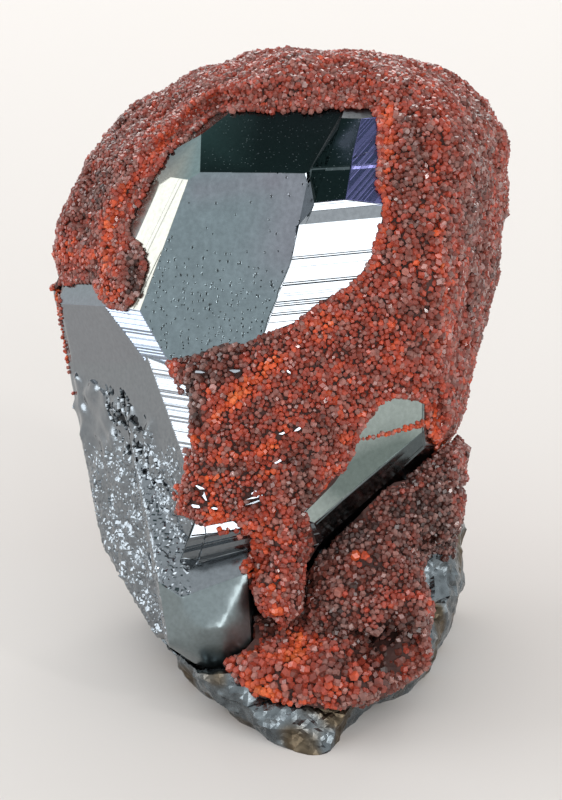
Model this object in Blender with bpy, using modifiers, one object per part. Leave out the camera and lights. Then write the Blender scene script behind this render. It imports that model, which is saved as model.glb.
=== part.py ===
"""Hematite with andradite garnet: one natural mineral specimen at its real size.

A thick hematite crystal, about 50 mm long with its root, leans back on massive hematite, which
is cut off flat where the specimen stands. A smaller hematite crystal is grown into its lower
front. A crust of tiny red andradite garnets wraps the top, front, right side and back of the
crystal and leaves a window open on its bright faces. A mound of darker garnets grows on the
front of the root.

All shapes are worked out in the specimen frame: millimetres, X to the right, Y to the back and
Z along the crystal, with the front of the crystal near Y = 0. An empty leans that frame back
and stands it on the ground, with the origin under the middle of the specimen.
"""

import math

import bmesh
import bpy
from mathutils import Matrix, Vector

MM = 0.001

# Driving dimensions, in millimetres and degrees.
LEAN = 20.0                # the crystal leans this far back from upright
FIT_GAP = 0.3              # clear space between neighbouring solids
LUMPY_GAP = 0.4            # the same where both neighbours are lumpy
GARNET_CRUST = 1.3         # thickness of the red crust on the crystal faces
GROWTH_STEP = 0.08         # height of the step between growths of one crystal
SIDE_REACH = 7.3           # distance of the etched left side from the frame's origin
GROUND = 21.95             # the ground lies this far below the frame's origin, along the vertical
BLOCK = 120.0              # side of the cube that a crystal is cut from
CRUST_GRAIN = 1.65         # size of the facets on the red crust
MOUND_GRAIN = 1.25         # size of the facets on the mound
ROOT_GRAIN = 1.5           # size of the facets on the massive root
WINDOW_FRONT = -12.0       # the window in the crust is cut from here
WINDOW_BACK = 16.0         # to here, measured along Y


def stepped(faces, step):
    """The same faces set back by a growth step, so that no two growths share a plane."""
    return {name: (azimuth, tilt, distance - step) for name, (azimuth, tilt, distance) in faces.items()}


# A crystal face is (azimuth, tilt, distance). Azimuth 0 looks to the front, +90 to the right.
# Tilt is how far the face looks up. Distance is from the frame's origin to the face's plane.
OUTER_FACES = {
    "top_bevel": (2, 60, 16.8),
    "top": (4, 84, 23.1),
    "top_left": (-30, 80, 22.2),
    "top_right": (50, 72, 22.2),
    "shoulder": (66, 42, 19.9),
    "right": (74, -5, 9.9),
    "right_low": (73, -14, 10.15),
    "right_rear": (90, -16.5, 11.8),
    "back": (180, 5, 22.6),
    "back_left": (-135, 5, 22.2),
    "back_right": (130, 5, 22.5),
    "back_top": (180, 50, 31.3),
    "rear_base": (180, -62, 19.5),
}

UNDERSIDE_FACES = {
    "edge_right": (40, -28, 6.45),
    "under_right": (73, -45, 9.1),
    "under_front": (14, -45, 7.6),
}

LEFT_GROWTH = {
    **OUTER_FACES,
    "broad": (-12, 6, 2.1),
    "roof": (-11, 44, 11.55),
    "corner": (-38, 38, 12.35),
    "corner_edge": (-50, 30, 12.05),
    "teal": (-60, 20, 11.15),
    "ivory": (-42, 15, 7.7),
    "striated": (14, -2, 1.0),
    "left_bevel": (-46, -14, 5.05),
    "left_side": (-62, -25, 5.95),
    "far_left": (-100, -4, 17.3),
    "upper_left": (-80, 22, 16.1),
    "crown_left": (-62, 55, 17.65),
    "left_foot": (-40, -42, 11.95),
    "foot": (14, -48, 3.3),
    "right_end": (90, 0, 5.4),
    "base": (-10, -75, 14.65),
}

RIGHT_GROWTH = {
    **stepped(OUTER_FACES, GROWTH_STEP),
    **stepped(UNDERSIDE_FACES, GROWTH_STEP),
    "front": (4, -2, 2.4),
    "roof": (0, 36, 10.45),
    "violet": (9, 34.5, 10.75),
    "ledge_end": (-90, 20, 2.85),
    "front_right": (28, -16, 4.65),
    "base": (-10, -75, 11.5),
}

LOWER_GROWTH = {
    **stepped(OUTER_FACES, 2 * GROWTH_STEP),
    **UNDERSIDE_FACES,
    "front": (4, -2, 2.4 + GROWTH_STEP),
    "front_right": (28, -16, 4.65 + GROWTH_STEP),
    "ledge": (-16, 62, 3.4),
    "bevel": (-46, -1, 5.98),
    "side": (-62, -9, SIDE_REACH),
    "side_back": (-95, -11, 16.2),
    "side_low": (-88, -31, 16.5),
    "side_end": (-58, -52, 16.8),
    "base": (-10, -78, 15.65),
}

SMALL_CRYSTAL = {
    "front": (-6, 14, -1.15),
    "front_left": (-34, -8, 7.2),
    "front_right": (38, -8, 1.55),
    "lower_front": (0, -40, 12.25),
    "left": (-86, -10, 10.9),
    "low_left": (-50, -58, 18.1),
    "cut_left": (-88, -55, 19.05),
    "low_right": (55, -52, 13.05),
    "right": (84, 2, -2.65),
    "bottom": (-4, -86, 19.05),
    "top": (-12, 28, -3.93),
    "back": (180, 0, 7.0),
}

OTHER_GROWTHS = {
    "right growth": RIGHT_GROWTH,
    "lower growth": LOWER_GROWTH,
    "small crystal": SMALL_CRYSTAL,
}

ROOT_FRONT = {
    "slope": (0, 27, -6.7),
    "tip": (0, -20, 13.0),
    "plate": (25, 10, 0.3),
    "right": (85, -19, 16.1),
    "upper_right": (88, 12, 10.2),
    "lower_right": (80, -45, 20.6),
    "under_right": (75, -59, 21.7),
    "left": (-80, -46, 18.0),
    "far_left": (-90, -10, 10.0),
    "back": (180, 0, 17.0),
    "top": (15, 50, -6.45),
    "top_left": (-20, 50, -16.0),
}

ROOT_TIP = {
    "slope": (0, 27, -6.9),
    "tip": (0, -20, 13.0),
    "left": (-80, -46, 18.4),
    "right": (88, -8, 7.6),
    "back": (180, 0, 8.0),
    "top": (0, 85, -19.0),
}

ROOT_HEEL = {
    "front": (0, -10, -2.4),
    "left": (-90, -36, 17.3),
    "back_left": (-120, 0, 18.1),
    "right": (80, -12, 12.1),
    "back": (180, -12, 24.35),
    "top": (0, 85, -10.25),
}

# Faces whose crust has its own thickness; none grows on the underside.
OWN_CRUST = {
    "upper_left": 2.0,
    "far_left": 0.9,
    "edge_right": 0.0,
    "under_right": 0.0,
    "under_front": 0.0,
    "foot": 0.0,
    "left_foot": 0.0,
    "side_end": 0.0,
    "base": 0.0,
    "rear_base": 0.0,
}

# Lumps are (x, y, z, radius).
HANGING_LOBE = [
    (-0.6, -1.8, -9.6, 2.0),
    (0.3, -1.6, -11.0, 2.0),
    (-0.6, -1.8, -12.6, 2.2),
    (-0.2, -2.1, -14.2, 2.3),
    (0.4, -1.9, -15.2, 1.9),
]

MOUND = [
    (3.4, 2.4, -12.6, 2.4),
    (4.4, 0.2, -15.0, 3.0),
    (6.6, 1.6, -12.0, 3.6),
    (8.0, 2.6, -8.8, 3.2),
    (10.4, 3.8, -7.2, 3.2),
    (11.4, 6.0, -5.4, 2.6),
    (11.9, 8.2, -4.0, 2.2),
    (10.8, 4.6, -10.2, 3.0),
    (7.8, 0.6, -15.0, 3.6),
    (5.2, -0.8, -17.8, 3.0),
    (8.4, 0.6, -17.8, 2.8),
    (-0.9, 1.3, -17.2, 2.3),
]

ORANGE_LEDGE = [
    (-3.0, -0.6, -19.6, 1.7),
    (-1.2, -1.6, -19.9, 2.1),
    (0.8, -2.3, -20.0, 2.4),
    (3.2, -2.8, -20.1, 2.4),
    (5.6, -2.1, -19.8, 2.2),
    (7.4, -1.0, -19.0, 2.2),
]

# A dark hollow among the garnets of the mound.
MOUND_HOLLOW = (7.8, -2.2, -18.3, 1.5)

# Ridges of garnets on the lower front follow the growth lines of the crystal: (start, end, radius).
RIDGES = [
    ((-5.8, -2.8, -4.3), (2.8, -3.3, -2.6), 1.2),
    ((-5.6, -2.8, -6.2), (3.2, -3.3, -4.5), 1.1),
    ((-6.2, -2.7, -7.8), (1.6, -3.3, -6.3), 1.1),
    ((-7.4, -1.6, 1.9), (-2.6, -2.9, 3.0), 0.9),
]

# Outlines are (x, z) as seen from the front.
MAIN_WINDOW = [
    (-11.1, 11.9), (-11.0, 12.8), (-10.4, 14.2), (-9.4, 15.9), (-8.2, 17.8), (-6.9, 19.0),
    (-5.6, 20.4), (-4.6, 21.0), (6.4, 21.1), (7.1, 19.9), (6.9, 15.1), (7.4, 13.9),
    (7.1, 12.5), (6.4, 9.9), (4.9, 8.0), (2.9, 7.0), (1.2, 5.6), (-0.6, 4.9),
    (-2.4, 4.0), (-4.2, 4.0), (-5.4, 3.4), (-8.2, 2.7), (-7.6, 1.4), (-6.5, 0.9),
    (-6.5, -2.6), (-6.3, -3.8), (-6.8, -4.9), (-7.5, -8.0), (-5.6, -9.0), (-3.4, -8.6),
    (-2.0, -9.6), (-2.0, -10.8), (-2.8, -11.7), (-3.1, -13.2), (-2.6, -15.4), (-2.1, -17.1),
    (-2.1, -26.0), (-23.0, -26.0), (-23.0, 8.9), (-16.2, 8.9), (-15.0, 8.6), (-13.8, 8.6),
    (-13.1, 7.4), (-12.4, 6.7), (-11.4, 6.5), (-10.7, 6.9), (-10.1, 8.1), (-9.7, 9.7),
    (-10.2, 11.1),
]

LOWER_WINDOW = [
    (4.9, -4.3), (5.7, -2.1), (6.9, -0.4), (8.1, 0.3), (10.3, 0.0), (10.5, -1.1),
    (10.6, -2.9), (11.1, -5.7), (7.1, -9.3), (2.6, -10.4), (1.8, -7.9), (3.8, -5.9),
]
LOWER_WINDOW_BACK = 6.0

PLATE_WINDOW = [(10.2, -12.4), (11.0, -11.2), (14.2, -10.6), (13.4, -14.6), (12.2, -16.4), (10.6, -14.4)]

# The bare left side is open in the crust from here to the very back.
SIDE_WINDOW = [
    (-23.0, 8.9), (-16.2, 8.9), (-15.0, 8.6), (-12.0, 6.5), (-10.5, 4.0), (-9.5, 0.0),
    (-8.5, -8.0), (-6.0, -16.0), (-6.0, -26.0), (-23.0, -26.0),
]
SIDE_WINDOW_FRONT = 10.0
SIDE_WINDOW_BACK = 30.0

# The lower left side of the crystal is etched: a thin rough slab grown into the "side" face.
ETCH_PROUD = 0.25          # it stands this far out of the face
ETCH_DEPTH = 2.2           # and reaches this far in
ETCH_GRAIN = 1.05
ETCH_LUMP = 1.1
ETCH_RELIEF = 1.3
ETCHED_SIDE = {
    "side": (-62, -9, SIDE_REACH + ETCH_PROUD),
    "inner": (118, 9, ETCH_DEPTH - SIDE_REACH),
    "side_back": (-95, -11, 16.1),
    "side_low": (-88, -31, 16.4),
    "side_end": (-58, -52, 16.7),
    "bevel": (-46, -1, 5.3),
    "front": (4, -2, 1.5),
    "under_front": (14, -45, 7.1),
    "upper": (-10, 72, -0.9),
    "base": (-10, -78, 15.5),
    "rear": (180, 0, 15.5),
}


def face_direction(azimuth, tilt):
    """Outward direction of a face in the specimen frame."""
    a = math.radians(azimuth)
    t = math.radians(tilt)
    return Vector((math.sin(a) * math.cos(t), -math.cos(a) * math.cos(t), math.sin(t)))


def clear_scene():
    for obj in list(bpy.data.objects):
        bpy.data.objects.remove(obj, do_unlink=True)


def new_collection(name):
    collection = bpy.data.collections.new(name)
    bpy.context.scene.collection.children.link(collection)
    return collection


def principled(name, colour, roughness, metallic):
    material = bpy.data.materials.new(name)
    material.use_nodes = True
    shader = material.node_tree.nodes["Principled BSDF"]
    shader.inputs["Base Color"].default_value = (*colour, 1.0)
    shader.inputs["Roughness"].default_value = roughness
    shader.inputs["Metallic"].default_value = metallic
    return material


def dress(obj, material):
    """Give the whole body one material, in place of the empty slot that a cut leaves."""
    obj.data.materials.clear()
    obj.data.materials.append(material)
    for polygon in obj.data.polygons:
        polygon.material_index = 0


def add_object(name, bm, collection):
    """Turn a bmesh in millimetres into an object in metres."""
    bmesh.ops.scale(bm, vec=(MM, MM, MM), verts=bm.verts)
    bmesh.ops.recalc_face_normals(bm, faces=bm.faces)
    mesh = bpy.data.meshes.new(name)
    bm.to_mesh(mesh)
    bm.free()
    obj = bpy.data.objects.new(name, mesh)
    collection.objects.link(obj)
    return obj


def cut_block(bm, faces, grow=0.0, own_growth=None):
    """Cut a cube by every face's plane, grown outwards by the same amount or by its own."""
    cube = bmesh.ops.create_cube(bm, size=BLOCK)["verts"]
    piece = set(cube)
    for name, (azimuth, tilt, distance) in faces.items():
        direction = face_direction(azimuth, tilt)
        reach = distance + (own_growth or {}).get(name, grow)
        verts = [v for v in bm.verts if v in piece]
        edges = [e for e in bm.edges if e.verts[0] in piece]
        sides = [f for f in bm.faces if f.verts[0] in piece]
        cut = bmesh.ops.bisect_plane(
            bm, geom=verts + edges + sides, dist=1e-5,
            plane_co=direction * reach, plane_no=direction, clear_outer=True,
        )["geom_cut"]
        rim = [e for e in cut if isinstance(e, bmesh.types.BMEdge)]
        if rim:
            bmesh.ops.edgeloop_fill(bm, edges=rim)
        piece = {v for v in piece if v.is_valid} | {v for v in cut if isinstance(v, bmesh.types.BMVert)}


def block_object(name, faces, collection, grow=0.0):
    bm = bmesh.new()
    cut_block(bm, faces, grow)
    return add_object(name, bm, collection)


def add_lumps(bm, lumps):
    for x, y, z, radius in lumps:
        place = Matrix.Translation((x, y, z))
        bmesh.ops.create_icosphere(bm, subdivisions=2, radius=radius, matrix=place)


def add_ridge(bm, start, end, radius):
    """A round bar from start to end."""
    first, last = Vector(start), Vector(end)
    along = last - first
    turn = along.to_track_quat("Z", "Y").to_matrix().to_4x4()
    place = Matrix.Translation((first + last) / 2) @ turn
    bmesh.ops.create_cone(
        bm, cap_ends=True, segments=8, radius1=radius, radius2=radius, depth=along.length, matrix=place,
    )


def prism_object(name, outline, front, back, collection):
    """An outline of (x, z) points, extruded along Y from front to back."""
    bm = bmesh.new()
    ring = [bm.verts.new((x, front, z)) for x, z in outline]
    face = bm.faces.new(ring)
    moved = bmesh.ops.extrude_face_region(bm, geom=[face])["geom"]
    verts = [v for v in moved if isinstance(v, bmesh.types.BMVert)]
    bmesh.ops.translate(bm, vec=(0, back - front, 0), verts=verts)
    return add_object(name, bm, collection)


def ground_object(name, clearance, collection):
    """A slab whose top is the ground, raised by the clearance, turned into the specimen frame."""
    bm = bmesh.new()
    bmesh.ops.create_cube(bm, size=BLOCK)
    bmesh.ops.translate(bm, vec=(0, 0, -GROUND + clearance - BLOCK / 2), verts=bm.verts)
    bmesh.ops.rotate(bm, matrix=Matrix.Rotation(math.radians(LEAN), 3, "X"), verts=bm.verts)
    return add_object(name, bm, collection)


def as_cutter(obj):
    obj.hide_render = True
    obj.display_type = "WIRE"
    return obj


def boolean(obj, other, operation, solver="EXACT"):
    """Join or cut with another solid. The MANIFOLD solver is for rough shapes, where EXACT fails."""
    modifier = obj.modifiers.new(f"{operation.lower()} {other.name}", "BOOLEAN")
    modifier.object = other
    modifier.operation = operation
    modifier.solver = solver


def baked(obj):
    """Apply the modifiers and keep the largest body."""
    graph = bpy.context.evaluated_depsgraph_get()
    mesh = bpy.data.meshes.new_from_object(obj.evaluated_get(graph))
    obj.modifiers.clear()
    bm = bmesh.new()
    bm.from_mesh(mesh)
    keep_largest(bm)
    bm.to_mesh(mesh)
    bm.free()
    obj.data = mesh
    return obj


def keep_largest(bm):
    """Delete loose crumbs: every connected set of faces except the one with most faces."""
    waiting = set(bm.faces)
    bodies = []
    while waiting:
        stack = [waiting.pop()]
        body = list(stack)
        while stack:
            for edge in stack.pop().edges:
                for face in edge.link_faces:
                    if face in waiting:
                        waiting.remove(face)
                        stack.append(face)
                        body.append(face)
        bodies.append(body)
    bodies.sort(key=len)
    for body in bodies[:-1]:
        bmesh.ops.delete(bm, geom=body, context="FACES")
    loose_edges = [edge for edge in bm.edges if not edge.link_faces]
    bmesh.ops.delete(bm, geom=loose_edges, context="EDGES")
    loose_verts = [vert for vert in bm.verts if not vert.link_edges]
    bmesh.ops.delete(bm, geom=loose_verts, context="VERTS")


def clouds(name, size):
    texture = bpy.data.textures.new(name, "CLOUDS")
    texture.noise_scale = size * MM
    texture.noise_depth = 1
    return texture


def roughen(obj, grain, smoothing, lump_size, lump_height):
    """Fuse the shapes in the mesh to one lumpy body with facets of one grain."""
    remesh = obj.modifiers.new("fuse", "REMESH")
    remesh.mode = "VOXEL"
    remesh.voxel_size = grain * MM
    if smoothing:
        smooth = obj.modifiers.new("round", "SMOOTH")
        smooth.factor = 0.5
        smooth.iterations = smoothing
    lumps = obj.modifiers.new("lumps", "DISPLACE")
    lumps.texture = clouds(f"{obj.name} lumps", lump_size)
    lumps.strength = lump_height * MM
    lumps.mid_level = 0.5
    return baked(obj)


def swollen(obj, name, distance, collection):
    """A copy whose surface is moved out along its normals."""
    copy = bpy.data.objects.new(name, obj.data.copy())
    collection.objects.link(copy)
    swell = copy.modifiers.new("swell", "DISPLACE")
    swell.strength = distance * MM
    swell.mid_level = 0.0
    return as_cutter(baked(copy))


def etched_side(cutters):
    """The rough slab of the lower left side."""
    slab = as_cutter(block_object("etched side", ETCHED_SIDE, cutters))
    return roughen(slab, ETCH_GRAIN, 0, ETCH_LUMP, ETCH_RELIEF)


def hematite_crystal(parts, cutters, etched):
    """The leaning crystal: three growths and the small crystal at its foot, grown into one."""
    crystal = block_object("hematite_crystal", LEFT_GROWTH, parts)
    for name, faces in OTHER_GROWTHS.items():
        boolean(crystal, as_cutter(block_object(name, faces, cutters)), "UNION")
    boolean(crystal, etched, "UNION", "MANIFOLD")
    return baked(crystal)


def crystal_clearance(cutters):
    """The crystal's blocks grown by the gap and joined, to cut from what grows on it."""
    clearance = block_object("crystal clearance", LEFT_GROWTH, cutters, FIT_GAP)
    for name, faces in OTHER_GROWTHS.items():
        grown = block_object(f"{name} clearance", faces, cutters, FIT_GAP)
        boolean(clearance, as_cutter(grown), "UNION")
    return as_cutter(baked(clearance))


def crust_body(parts):
    """The full garnet crust over the crystal, before the crystal and the windows are cut from it."""
    bm = bmesh.new()
    for faces in (LEFT_GROWTH, RIGHT_GROWTH, LOWER_GROWTH):
        cut_block(bm, faces, GARNET_CRUST, OWN_CRUST)
    add_lumps(bm, HANGING_LOBE)
    for start, end, radius in RIDGES:
        add_ridge(bm, start, end, radius)
    crust = add_object("garnet_crust", bm, parts)
    return roughen(crust, CRUST_GRAIN, 3, 4.0, 0.9)


def open_windows(crust, clearance, cutters):
    """Cut the windows and then the crystal out of the crust."""
    main = prism_object("main window", MAIN_WINDOW, WINDOW_FRONT, WINDOW_BACK, cutters)
    lower = prism_object("lower window", LOWER_WINDOW, WINDOW_FRONT, LOWER_WINDOW_BACK, cutters)
    side = prism_object("side window", SIDE_WINDOW, SIDE_WINDOW_FRONT, SIDE_WINDOW_BACK, cutters)
    for cutter in (main, lower, side, clearance):
        boolean(crust, as_cutter(cutter), "DIFFERENCE", "MANIFOLD")
    return baked(crust)


def root_body(parts):
    """The massive hematite that the crystal grew from, before its neighbours are cut from it."""
    bm = bmesh.new()
    for faces in (ROOT_FRONT, ROOT_TIP, ROOT_HEEL):
        cut_block(bm, faces)
    root = add_object("hematite_matrix", bm, parts)
    return roughen(root, ROOT_GRAIN, 2, 2.5, 0.9)


def garnet_mound(parts, cutters, neighbours):
    """The mound of garnets on the front of the root, with its orange ledge."""
    bm = bmesh.new()
    add_lumps(bm, MOUND + ORANGE_LEDGE)
    mound = add_object("matrix_garnet_crust", bm, parts)
    roughen(mound, MOUND_GRAIN, 1, 2.0, 0.8)
    bm = bmesh.new()
    add_lumps(bm, [MOUND_HOLLOW])
    hollow = add_object("mound hollow", bm, cutters)
    plate = prism_object("plate window", PLATE_WINDOW, WINDOW_FRONT, LOWER_WINDOW_BACK, cutters)
    ground = ground_object("ground under the mound", 2 * FIT_GAP, cutters)
    for cutter in (hollow, plate, ground):
        boolean(mound, as_cutter(cutter), "DIFFERENCE")
    for neighbour in neighbours:
        boolean(mound, neighbour, "DIFFERENCE", "MANIFOLD")
    return baked(mound)


def stand(parts):
    """Lean the specimen back and put the middle of its underside on the origin."""
    frame = bpy.data.objects.new("specimen_frame", None)
    bpy.context.scene.collection.objects.link(frame)
    frame.rotation_euler.x = math.radians(-LEAN)
    for obj in bpy.data.objects:
        if obj.type == "MESH":
            obj.parent = frame
    turn = frame.rotation_euler.to_matrix()
    corners = [turn @ vertex.co for obj in parts.objects for vertex in obj.data.vertices]
    low = [min(c[axis] for c in corners) for axis in range(3)]
    high = [max(c[axis] for c in corners) for axis in range(3)]
    frame.location = (-(low[0] + high[0]) / 2, -(low[1] + high[1]) / 2, -low[2])


def main():
    clear_scene()
    parts = new_collection("hematite with andradite garnet")
    cutters = new_collection("cutters")
    cutters.hide_render = True

    etched = etched_side(cutters)
    crystal = hematite_crystal(parts, cutters, etched)
    around_etched = swollen(etched, "around the etched side", LUMPY_GAP, cutters)
    clearance = crystal_clearance(cutters)

    crust = crust_body(parts)
    around_crust = swollen(crust, "around the crust", LUMPY_GAP, cutters)
    open_windows(crust, clearance, cutters)

    root = root_body(parts)
    around_root = swollen(root, "around the root", LUMPY_GAP, cutters)
    boolean(root, as_cutter(ground_object("ground", 0.0, cutters)), "DIFFERENCE")
    for neighbour in (clearance, around_etched, around_crust):
        boolean(root, neighbour, "DIFFERENCE", "MANIFOLD")
    baked(root)

    mound = garnet_mound(parts, cutters, [clearance, around_crust, around_root])

    dress(crystal, principled("bright hematite", (0.29, 0.31, 0.33), 0.15, 1.0))
    dress(root, principled("massive hematite", (0.16, 0.17, 0.18), 0.45, 0.8))
    dress(crust, principled("red andradite", (0.24, 0.05, 0.03), 0.35, 0.0))
    dress(mound, principled("brown andradite", (0.09, 0.035, 0.025), 0.35, 0.0))
    for lumpy in (crust, mound, root):
        lumpy.data.shade_smooth()
        lumpy.data.set_sharp_from_angle(angle=math.radians(40))
    stand(parts)


main()
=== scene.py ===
"""Looks of a natural specimen: a leaning hematite crystal in a druse of tiny andradite garnets.

Shapes are worked out in the specimen frame, in millimetres: X to the right, Y to the back and Z
along the crystal, which leans back. Its origin is where the photograph's middle pixel falls.
The garnets are thousands of small rhombic dodecahedra strewn over the solids of the crusts, and
the crystal is the solid with its own growth ledges, striae, pits and etched relief worked in.
"""

import itertools
import logging
import math
from dataclasses import dataclass, field
from enum import Enum

import bmesh
import bpy
import numpy as np
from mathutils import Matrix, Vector
from mathutils.bvhtree import BVHTree


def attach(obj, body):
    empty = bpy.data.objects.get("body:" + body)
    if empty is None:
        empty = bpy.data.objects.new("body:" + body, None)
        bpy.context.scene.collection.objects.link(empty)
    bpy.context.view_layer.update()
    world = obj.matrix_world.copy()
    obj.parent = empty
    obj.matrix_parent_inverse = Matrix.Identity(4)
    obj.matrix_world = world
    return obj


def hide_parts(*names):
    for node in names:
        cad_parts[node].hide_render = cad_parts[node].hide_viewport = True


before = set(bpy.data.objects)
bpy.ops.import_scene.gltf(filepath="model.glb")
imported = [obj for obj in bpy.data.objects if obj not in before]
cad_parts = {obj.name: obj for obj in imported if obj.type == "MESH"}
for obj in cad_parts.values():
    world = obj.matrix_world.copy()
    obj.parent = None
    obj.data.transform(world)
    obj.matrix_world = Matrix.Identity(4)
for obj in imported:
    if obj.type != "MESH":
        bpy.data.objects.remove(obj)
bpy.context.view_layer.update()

log = logging.getLogger("specimen")
Array = np.ndarray

MM = 0.001

# The crystal leans back by this angle, and the photograph's camera looks down by it.
LEAN = math.radians(20.0)

# The origin of the specimen frame in the world, in metres.
FRAME_ORIGIN = (0.00039, -0.00796, 0.02195)

# The photograph's camera: its middle pixel, its focal length in pixels and its distance in
# millimetres. The lens and the sensor, in millimetres, give that focal length over 800 pixels.
PHOTO_CENTRE = (281.0, 400.0)
PHOTO_FOCAL = 4444.4
PHOTO_DISTANCE = 317.46
LENS = 200.0
SENSOR = 36.0

# Vertices of a CAD node that are nearer to each other than this are one, in millimetres.
MERGED_WITHIN = 0.002

# A place of a crust whose outward direction has more of Y than this looks away from the camera.
TURNED_AWAY = 0.35


class Slot(Enum):
    """Material slots."""

    BRIGHT_HEMATITE = "bright_hematite"
    MASSIVE_HEMATITE = "massive_hematite"
    RED_ANDRADITE = "red_andradite"
    BROWN_ANDRADITE = "brown_andradite"


def linear(colour: str) -> tuple[float, float, float]:
    """Turns an sRGB hex colour such as 8a2b1c to linear values.

    Args:
        colour: six hex digits.

    Returns:
        Linear red, green and blue.
    """
    values = [int(colour[i:i + 2], 16) / 255.0 for i in (0, 2, 4)]
    return tuple(v / 12.92 if v <= 0.04045 else ((v + 0.055) / 1.055) ** 2.4 for v in values)


class SpecimenFrame:
    """The leaning frame that the shapes are worked out in."""

    origin: Array = np.array(FRAME_ORIGIN)
    turn: Array = np.array([
        [1.0, 0.0, 0.0],
        [0.0, math.cos(LEAN), math.sin(LEAN)],
        [0.0, -math.sin(LEAN), math.cos(LEAN)],
    ])

    @classmethod
    def to_world(cls, points: Array) -> Array:
        """Specimen millimetres to world metres."""
        return (points @ cls.turn.T) * MM + cls.origin

    @classmethod
    def to_specimen(cls, points: Array) -> Array:
        """World metres to specimen millimetres."""
        return ((points - cls.origin) / MM) @ cls.turn

    @staticmethod
    def to_photo(points: Array) -> Array:
        """Where points in the specimen frame show in the photograph, in pixels.

        Args:
            points: places in the specimen frame.

        Returns:
            Across and down, one row each.
        """
        depth = PHOTO_DISTANCE + points[:, 1]
        across = PHOTO_CENTRE[0] + PHOTO_FOCAL * points[:, 0] / depth
        down = PHOTO_CENTRE[1] - PHOTO_FOCAL * points[:, 2] / depth
        return np.stack([across, down], axis=1)

    @staticmethod
    def on_photo(pixels: Array, tree: BVHTree) -> tuple[Array, Array]:
        """What the photograph's camera sees of a surface at some pixels.

        Args:
            pixels: across and down, one row each.
            tree: the surface.

        Returns:
            Places in the specimen frame, and whether the surface was hit there.
        """
        eye = Vector((0.0, -PHOTO_DISTANCE, 0.0))
        places = np.zeros((len(pixels), 3))
        found = np.zeros(len(pixels), bool)
        for number, (across, down) in enumerate(pixels):
            way = Vector((across - PHOTO_CENTRE[0], PHOTO_FOCAL, PHOTO_CENTRE[1] - down))
            place = tree.ray_cast(eye, way)[0]
            if place is not None:
                places[number], found[number] = place, True
        return places, found


def face_direction(azimuth: float, tilt: float) -> Array:
    """Outward direction of a crystal face.

    Args:
        azimuth: 0 looks to the front and 90 to the right, in degrees.
        tilt: how far the face looks up, in degrees.

    Returns:
        A unit vector in the specimen frame.
    """
    a, t = math.radians(azimuth), math.radians(tilt)
    return np.array([math.sin(a) * math.cos(t), -math.cos(a) * math.cos(t), math.sin(t)])


def random_of(cells: Array, salt: int) -> Array:
    """A repeatable random number from 0 to 1 for each row of whole numbers.

    Args:
        cells: whole numbers, one row for each result.
        salt: another salt gives other numbers.

    Returns:
        One value for each row, by mixing the row's bits.
    """
    mixed = np.full(len(cells), np.uint64(0x9E3779B97F4A7C15 + 7919 * salt))
    for column in cells.T:
        mixed ^= column.astype(np.int64).astype(np.uint64) * np.uint64(0xC2B2AE3D27D4EB4F)
        mixed ^= mixed >> np.uint64(29)
        mixed *= np.uint64(0xBF58476D1CE4E5B9)
        mixed ^= mixed >> np.uint64(32)
    return (mixed >> np.uint64(11)).astype(float) / float(1 << 53)


def random_pairs(cells: Array, salt: int) -> Array:
    """Two repeatable random numbers for each row of whole numbers, with this salt and the next."""
    return np.stack([random_of(cells, salt), random_of(cells, salt + 1)], axis=1)


def soft_noise(points: Array, size: float, salt: int) -> Array:
    """Smooth noise from -1 to 1: random values at the corners of cubes, eased between them.

    Args:
        points: places, one row each.
        size: side of a cube, in the points' own unit.
        salt: another salt gives another pattern.

    Returns:
        One value for each point.
    """
    scaled = points / size
    cell = np.floor(scaled).astype(np.int64)
    part = scaled - cell
    ease = part * part * (3.0 - 2.0 * part)
    total = np.zeros(len(points))
    for corner in itertools.product((0, 1), repeat=points.shape[1]):
        corner = np.array(corner)
        share = np.prod(np.where(corner == 1, ease, 1.0 - ease), axis=1)
        total += share * random_of(cell + corner, salt)
    return 2.0 * total - 1.0


def smooth_step(value: Array, start: float, end: float) -> Array:
    """0 before start and 1 after end, eased between them."""
    t = np.clip((value - start) / (end - start), 0.0, 1.0)
    return t * t * (3.0 - 2.0 * t)


def vertex_places(mesh: bpy.types.Mesh) -> Array:
    """The mesh's vertices, one row each.

    Args:
        mesh: the mesh.

    Returns:
        Their places, in the mesh's own unit.
    """
    flat = np.empty(len(mesh.vertices) * 3, np.float32)
    mesh.vertices.foreach_get("co", flat)
    return flat.reshape(-1, 3).astype(float)


def corner_vertices(mesh: bpy.types.Mesh) -> Array:
    """The vertex number of every face's corners, face by face.

    Args:
        mesh: the mesh.

    Returns:
        Vertex numbers.
    """
    numbers = np.empty(len(mesh.loops), np.int32)
    mesh.loops.foreach_get("vertex_index", numbers)
    return numbers


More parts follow.
